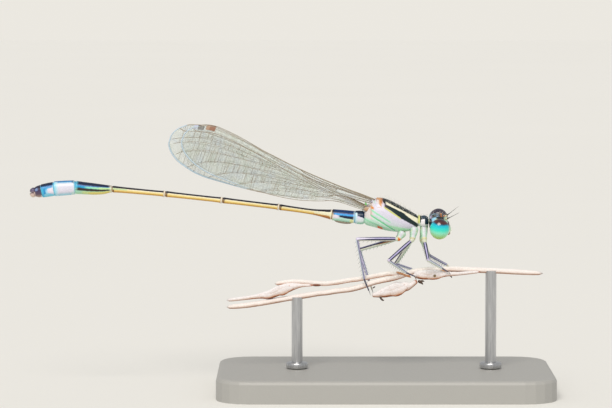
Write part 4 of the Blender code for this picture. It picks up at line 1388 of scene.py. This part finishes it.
def vein_lines():
    """The brown veins of a wing, long ones and cross veins, as (points, radius of each)."""
    lines = []
    for name, points in LONG_VEINS.items():
        path = curved([Vector((*point, 0)) for point in points], 6)
        fine = [(min(p.x, 0.997), min(max(p.y, 0), 1)) for p in path]
        lines.append((fine, [EDGE_RADIUS if name in ("radius", "subcosta") else LONG_RADIUS] * len(fine)))
    for upper, lower, first, last, count in CROSS_VEINS:
        for i in range(count):
            share = first + (last - first) * (i + random.uniform(0.15, 0.85)) / count
            foot = share + random.uniform(-0.002, 0.002)
            ends = [(share, breadth_of(upper, share)), (foot, breadth_of(lower, foot))]
            lines.append((ends, [CROSS_RADIUS] * 2))
    return lines


def eased(start, reach, i, count):
    """Place i of a row of count that stand closer together towards its end."""
    return start + reach * math.sin(math.pi / 2 * i / count)


def wings():
    """Four clear wings held together over the back: a membrane, its netting, its rim and its dark cell; the
    rim's bluish white is a painted highlight.
    """
    membrane = wing_membrane()
    brown = cuticle("vein cuticle, pale brown", evenly("#A08A70", "#8C7660"), coat=0.1)
    tan = cuticle("front edge cuticle, grey tan", evenly("#B9B2A4", "#94866F"), coat=0.15)
    white = cuticle("wing rim cuticle, bluish white", evenly("#CFE0EC", "#B9D2E4"), coat=0.4)
    tones = {"fore": (("purple brown", "#34182C"), ("bluish white", "#C4C8E0")),
             "hind": (("tan", "#9C7460"), ("pale tan", "#B4967E"))}
    hinge = {"fore": cuticle("wing root cuticle, blue grey", evenly("#D6D8E0", "#A9AEBE", "#8C8894")),
             "hind": cuticle("wing root cuticle, tan", evenly("#DCC8B0", "#C09A78", "#94745C"))}
    shares = [WING_ROOT, *(i / 72 for i in range(66)), *(eased(0.905, 0.0942, i, 12) for i in range(1, 13))]
    front = [(WING_ROOT, 0.0), *((0.96 * i / 60, 0.0) for i in range(61))]
    hind = [(WING_ROOT, 1.0), *((i / 70, 1.0) for i in range(42))]
    rim = [(eased(0.58, 0.418, i, 40), 1.0) for i in range(41)]
    rim += [(eased(0.80, 0.198, i, 20), 0.0) for i in range(20, 9, -1)]
    # Each edge is its finish, its line, and the radius of each of its points
    edges = {
        "front_edge": (tan, front, [0.046 - 0.020 * min(i / 12, 1) for i in range(len(front))]),
        "hind_edge": (brown, hind, [0.016] * len(hind)),
        # The rim is the edge vein round the tip, drawn bluish white and thickest near the tip as a painted
        # highlight
        "rim": (white, rim, [0.016 + 0.030 * math.sin(math.pi * min(i / 64, 1)) for i in range(len(rim))]),
    }
    for pair in WINGS:
        cells = [(tone, cuticle(f"wing cell, {tone}", evenly(code, code), coat=0.3))
                 for tone, code in tones[pair]]
        for side in SIDES:
            wing = Wing(pair, side)
            name = f"{pair}wing_{side}"
            skin = wing.sheet(f"{name}_membrane", shares, [i / 20 for i in range(21)], FILM_THICKNESS)
            give_plain(skin, membrane, "wing_clear", wing.node)
            give_plain(wing.netting(f"{name}_veins", vein_lines()), brown, "wing_clear")
            for edge, (look, line, radii) in edges.items():
                give_plain(wing.netting(f"{name}_{edge}", [(line, radii)]), look, "wing_clear")
            plates = joined(f"{name}_root", [wing.root_plate(*spot) for spot in ROOT_PLATES])
            give_plain(plates, hinge[pair], "thorax_green")
            for start, end, (tone, look) in zip(STIGMA_SPLITS, STIGMA_SPLITS[1:], cells):
                columns = [start + (end - start) * i / 3 for i in range(4)]
                label = tone.replace(" ", "_")
                cell = wing.sheet(f"{name}_{label}_cell", columns, CELL_BREADTHS, CELL_THICKNESS)
                give_plain(cell, look, "shell_dark")


def wing_membrane():
    """Wing film: chitin about 3 thousandths of a millimetre thick, clear, with a bright waxy gloss."""
    made, tree, shader = blank("wing film, clear grey green")
    tone = toned(tree, grain(tree, 0.8, 3.0), ((0.3, "#C6D2C4"), (0.5, "#D8DED8"), (0.7, "#CAD8E0")))
    finish(shader, Base_Color=tone, Normal=bumpy(tree, grain(tree, 0.25), 0.2, 0.01), Roughness=0.34,
           Alpha=0.2, IOR=1.56, Coat_Weight=0.15, Coat_Roughness=0.25)
    return made


# Perch


STEM_RADIUS, BRANCH_RADIUS = 0.195, 0.175


def strand(name, node, count, radius, outline):
    """A stem of grass along its node, through count places, frayed a little at its cut ends."""
    line = [centre for centre, _ in centre_line(node, count)]
    return tapered(name, line, [radius * frayed(i, len(line)) for i in range(len(line))], outline)


def perch():
    """A cut length of dead grass stem, its side branch and three spikelets."""
    # Each finish's tones run from a pale top, partly painted highlight, to a dark underside, part rust and
    # part painted shade
    straw = dry_grass("dry grass, straw white", ("#F6F2F0", "#EEE4DF", "#DFC4B4", "#B4703F", "#74391C"), 14)
    husk = dry_grass("grass husk, grey white edged with rust",
                     ("#EEECEF", "#E8E0DF", "#DAC3B5", "#B8703C", "#7C3618"), 9, 0.035, (3.55, -0.52, 8.34))
    rust = dry_grass("grass node, rust", ("#D2A078", "#B8713E", "#A45C2E", "#8A4A24", "#6A381C"), 9)
    stem = strand("grass_stem", "perch_stem", 46, STEM_RADIUS, section(20, ribs=7, rib_depth=0.05))
    give(stem, straw, "dry_grass", "perch_stem")
    branch = strand("grass_branch", "perch_branch", 26, BRANCH_RADIUS, section(16, ribs=5, rib_depth=0.06))
    give(branch, straw, "dry_grass", "perch_branch")
    # Scars where stalks join, each (x, y, z), half sizes and lean
    scars = (((1.34, -0.10, 8.40), (0.60, 0.14, 0.09), 20), ((4.26, -0.24, 8.68), (0.22, 0.08, 0.06), 4),
             ((4.58, -0.20, 8.44), (0.12, 0.08, 0.07), 10), ((-4.9, 0.0, 7.62), (0.30, 0.12, 0.09), 0))
    lumps = [lump("scar", placed(Vector(centre) * MM, size, leaning(lean))) for centre, size, lean in scars]
    give_plain(joined("grass_scars", lumps), rust, "dry_grass")
    for place in ("lower", "upper", "rear"):
        give(spikelet(place), husk, "dry_grass", f"perch_spikelet_{place}")
    remains()


def frayed(i, count):
    """The size of a strand at one of its places: it thins at both cut ends and swells here and there."""
    end = min(i, count - 1 - i)
    return (0.80, 0.95)[end] if end < 2 else 1 + 0.05 * math.sin(i * 1.7)


# The pale top tones are partly a painted highlight, and the dark lower tones partly rust and partly painted
# shade
FIBRE_TONES = (0.0, 0.48, 0.69, 0.80, 0.91)  # where each tone of dead grass stands, from its top down
FIBRE_STRAY = 0.24  # how far fibres and patches carry the tones up and down
STREAK_SHARE = 0.34  # how strongly the rusty streaks show


def dry_grass(name, tones, fibres_round, joint=None, spot=None):
    """Dead grass: dry cellulose fibres that run lengthwise, matt; white on top, partly as a painted
    highlight, and rusty along its edges, partly as painted shade.

    The tones run from the top of a strand to its underside. Joint is the rusty share of its length at the
    stalk, and spot is the place of a mould spot.
    """
    made, tree, shader = blank(name)
    along, around = lie_of(tree)
    lengthwise = add(tree, "ShaderNodeCombineXYZ", {"X": along, "Y": around}).outputs[0]

    def drawn_out(along_count, round_count, **values):
        """Noise in long streaks, so many along the strand and so many round it."""
        counts = (along_count, round_count, 1)
        spread = add(tree, "ShaderNodeMapping", {"Vector": lengthwise, "Scale": counts}).outputs[0]
        return add(tree, "ShaderNodeTexNoise", {"Vector": spread, "Scale": 1.0, **values}).outputs[0]

    # Fibres of about 0.03 mm are drawn three times as coarse, so that they show
    fibres = drawn_out(5, fibres_round, Detail=5.0, Roughness=0.6)
    stray = worked(tree, "MULTIPLY_ADD", fibres, FIBRE_STRAY, around)
    stray = worked(tree, "MULTIPLY_ADD", grain(tree, 0.9, 4.0), FIBRE_STRAY, stray)
    colour = toned(tree, worked(tree, "SUBTRACT", stray, FIBRE_STRAY), tuple(zip(FIBRE_TONES, tones)))
    streaks = ranged(tree, drawn_out(9, fibres_round * 2.2), 0.54, 0.68, 0.0, STREAK_SHARE)
    colour = blend(tree, streaks, colour, linear(tones[3]))
    if joint:
        colour = blend(tree, near(tree, along, joint, 0.05), colour, linear("#B8632E"))
    if spot:
        gap = add(tree, "ShaderNodeVectorMath", {0: object_place(tree), 1: Vector(spot) * MM},
                  operation="DISTANCE").outputs["Value"]
        colour = blend(tree, near(tree, gap, 0.11 * MM, 0.07 * MM), colour, linear("#7A6238"))
    colour = weathered(tree, colour, 0.12, 0.88, 1.08)
    finish(shader, Base_Color=colour, Normal=bumpy(tree, fibres, 0.5, 0.03), Roughness=0.62, IOR=1.5,
           Sheen_Weight=0.15)
    return made


def spikelet(place):
    """A grass spikelet: a ribbed body, and long pointed husks that clasp it from its stalk onwards."""
    line = centre_line(f"perch_spikelet_{place}", 15)[::-1]
    core = [(centre, height * 0.62, height * 0.90) for centre, height in line]
    parts = [loft("husk_core", core, section(16, power=1.85, ribs=8, rib_depth=0.025))]
    thick = max(height for _, height in line)
    body = [i for i, (_, height) in enumerate(line) if height > thick * 0.42]
    first, last = body[0], body[-1]
    for side in (1, -1):
        for start, end, tilt, reach in HUSKS:
            path, radii = [], []
            for step in range(HUSK_STEPS + 1):
                t = step / HUSK_STEPS
                share = first + (last - first) * (start + (end - start) * t)
                i = min(int(share), len(line) - 2)
                (centre, height), (next_centre, next_height) = line[i:i + 2]
                height += (next_height - height) * (share - i)
                aside = (Y * side * 0.50 + Z * tilt * side) * height
                path.append(centre.lerp(next_centre, share - i) + aside)
                radii.append(max(height / MM * reach * math.sin(math.pi * (0.06 + 0.91 * t)) ** 0.7, 0.01))
            parts.append(tapered("husk", path, radii, section(12, power=1.8), flat=0.26))
    return joined(f"grass_spikelet_{place}", parts)


HUSK_STEPS = 8
# Where each husk starts and ends, as shares of the body, how far up it sits, and how broad it is
HUSKS = ((0.0, 0.72, 0.22, 0.80), (0.10, 0.90, -0.26, 0.70), (0.34, 1.06, 0.12, 0.62))


def remains():
    """Dark withered bits of awn that hang from the spikelets."""
    dark = dry_grass("withered awn, dark brown", ("#5A4432", "#4A3526", "#3E2C20", "#34251C", "#2C201A"), 5)
    # Each is its places as (x, y, z), and its radii
    bits = ((((-0.40, -0.40, 6.88), (-0.30, -0.42, 6.72), (-0.16, -0.44, 6.58), (-0.06, -0.46, 6.60)),
             (0.05, 0.085, 0.07, 0.02)),
            (((2.36, -0.30, 7.96), (2.50, -0.34, 7.90), (2.62, -0.36, 7.82), (2.72, -0.36, 7.70)),
             (0.10, 0.13, 0.09, 0.03)),
            (((2.46, -0.30, 7.92), (2.66, -0.34, 7.96), (2.82, -0.36, 7.92)), (0.06, 0.08, 0.03)),
            (((-0.70, 0.02, 7.52), (-0.82, 0.0, 7.44), (-0.90, 0.0, 7.40)), (0.05, 0.05, 0.02)),
            (((4.62, -0.20, 8.36), (4.74, -0.24, 8.26), (4.80, -0.24, 8.16)), (0.05, 0.05, 0.02)))
    parts = []
    for places, radii in bits:
        path = curved([Vector(place) * MM for place in places], AWN_STEPS)
        parts.append(tapered("awn", path, thickness(radii, AWN_STEPS), section(8)))
    give(joined("withered_awns", parts), dark, "dry_grass")


AWN_STEPS = 3


def thickness(radii, steps):
    """Radii for each place of a curve drawn with so many steps between its points."""
    fine = []
    for before, after in zip(radii, radii[1:]):
        fine += [before + (after - before) * i / steps for i in range(steps)]
    return [*fine, radii[-1]]


# Stand and stage


def stand():
    """A painted steel plate and two bright rods, whose tops cradle the stem."""
    steel = drawn_steel()
    coated(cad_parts["stand_base"], stand_paint())
    for node in ("stand_rod_front", "stand_rod_rear"):
        coated(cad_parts[node], steel)
        low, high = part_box(node)
        foot = Vector(((low.x + high.x) / 2, 0, low.z))
        rings = [(foot + Z * rise * MM, radius * MM, radius * MM) for rise, radius in (
            (-0.02, 0.44), (0.0, 0.74), (0.08, 0.80), (0.34, 0.80), (0.42, 0.76), (0.46, 0.66), (0.46, 0.42))]
        give(loft(f"{node}_collar", rings, section(32), top=Y, upright=Z, angle=30), steel, "stand_steel")


def stand_paint():
    """Steel plate with a baked grey powder coat: satin, with a fine orange-peel surface."""
    made, tree, shader = blank("powder-coated steel, pale grey")
    peel = grain(tree, 0.12, 3.0)
    finish(shader, Base_Color=linear("#A9A8A4"), Normal=bumpy(tree, peel, 0.35, 0.03),
           Roughness=ranged(tree, peel, 0.0, 1.0, 0.38, 0.56))
    return made


def drawn_steel():
    """Drawn stainless rod: fine marks run along it, so that its highlight is drawn out lengthwise."""
    made, tree, shader = blank("drawn stainless steel")
    stretched = add(tree, "ShaderNodeMapping", {"Vector": object_place(tree), "Scale": (1, 1, 0.04)})
    marks = add(tree, "ShaderNodeTexNoise",
                {"Vector": stretched.outputs[0], "Scale": 1 / (0.05 * MM)}).outputs[0]
    finish(shader, Base_Color=toned(tree, marks, ((0.3, "#B4B5B8"), (0.7, "#D2D3D4"))), Metallic=1.0,
           Roughness=ranged(tree, marks, 0.0, 1.0, 0.24, 0.42))
    return made


FLOOR_TONE, SUN_TONE = "#E9E8E4", "#FFFAF2"
SKY_STRENGTH, SUN_STRENGTH = 0.52, 2.2
SUN_HEIGHT, SUN_ASIDE, SUN_SPREAD = math.radians(46), math.radians(-10), math.radians(32)


def stage():
    """A plain pale floor, one soft sun and an even sky."""
    floor = primitive("studio_floor", bpy.ops.mesh.primitive_plane_add, size=2)
    made, tree, shader = blank("studio paper, pale grey")
    tone = toned(tree, grain(tree, 60), evenly("#E8E7E3", "#EAE9E5"))
    finish(shader, Base_Color=tone, Roughness=0.9, Specular_IOR_Level=0.1)
    coated(floor, made)
    lamp = bpy.data.lights.new("soft sun", "SUN")
    lamp.energy = SUN_STRENGTH
    lamp.angle = SUN_SPREAD
    lamp.color = linear(SUN_TONE)[:3]
    level = math.cos(SUN_HEIGHT)
    away = Vector((math.sin(SUN_ASIDE) * level, -math.cos(SUN_ASIDE) * level, math.sin(SUN_HEIGHT)))
    aimed("soft sun", lamp, away)
    sky()


def aimed(name, data, away, distance=0.0, target=Vector()):
    """A lamp or a camera that looks back along away at its target, from that distance."""
    made = bpy.data.objects.new(name, data)
    made.location = target + away * distance
    made.rotation_euler = away.to_track_quat("Z", "Y").to_euler()
    bpy.context.scene.collection.objects.link(made)
    return made


def sky():
    """An even sky; where the camera sees it directly it has the floor's own brightness."""
    world = bpy.data.worlds.new("studio sky")
    world.use_nodes = True
    bpy.context.scene.world = world
    tree = world.node_tree
    from_sun = SUN_STRENGTH * math.sin(SUN_HEIGHT) / math.pi
    shown = [paper * (SKY_STRENGTH + from_sun * sun)
             for paper, sun in zip(linear(FLOOR_TONE), linear(SUN_TONE))]
    ahead = add(tree, "ShaderNodeLightPath").outputs["Is Camera Ray"]
    tint = blend(tree, ahead, (*[SKY_STRENGTH] * 3, 1), (*shown[:3], 1))
    finish(tree.nodes["Background"], Color=tint)


CAMERA_TARGET = Vector((-5.66, 0, 13.46)) * MM
CAMERA_DISTANCE, CAMERA_RISE = 219 * MM, math.radians(4.5)


def camera():
    """A long lens in front of the insect's right side."""
    lens = bpy.data.cameras.new("long lens")
    lens.lens = 180
    lens.sensor_width = 36
    lens.clip_start = 10 * MM
    lens.clip_end = 10
    away = Vector((0, -math.cos(CAMERA_RISE), math.sin(CAMERA_RISE)))
    scene = bpy.context.scene
    scene.camera = aimed("long lens", lens, away, CAMERA_DISTANCE, CAMERA_TARGET)
    scene.view_settings.view_transform = "Standard"
    # Light passes both faces of up to four wings, one behind another
    scene.cycles.transparent_max_bounces = 32


random.seed(7)
thorax()
prothorax()
abdomen()
head()
legs()
hairs()
wings()
perch()
stand()
stage()
camera()
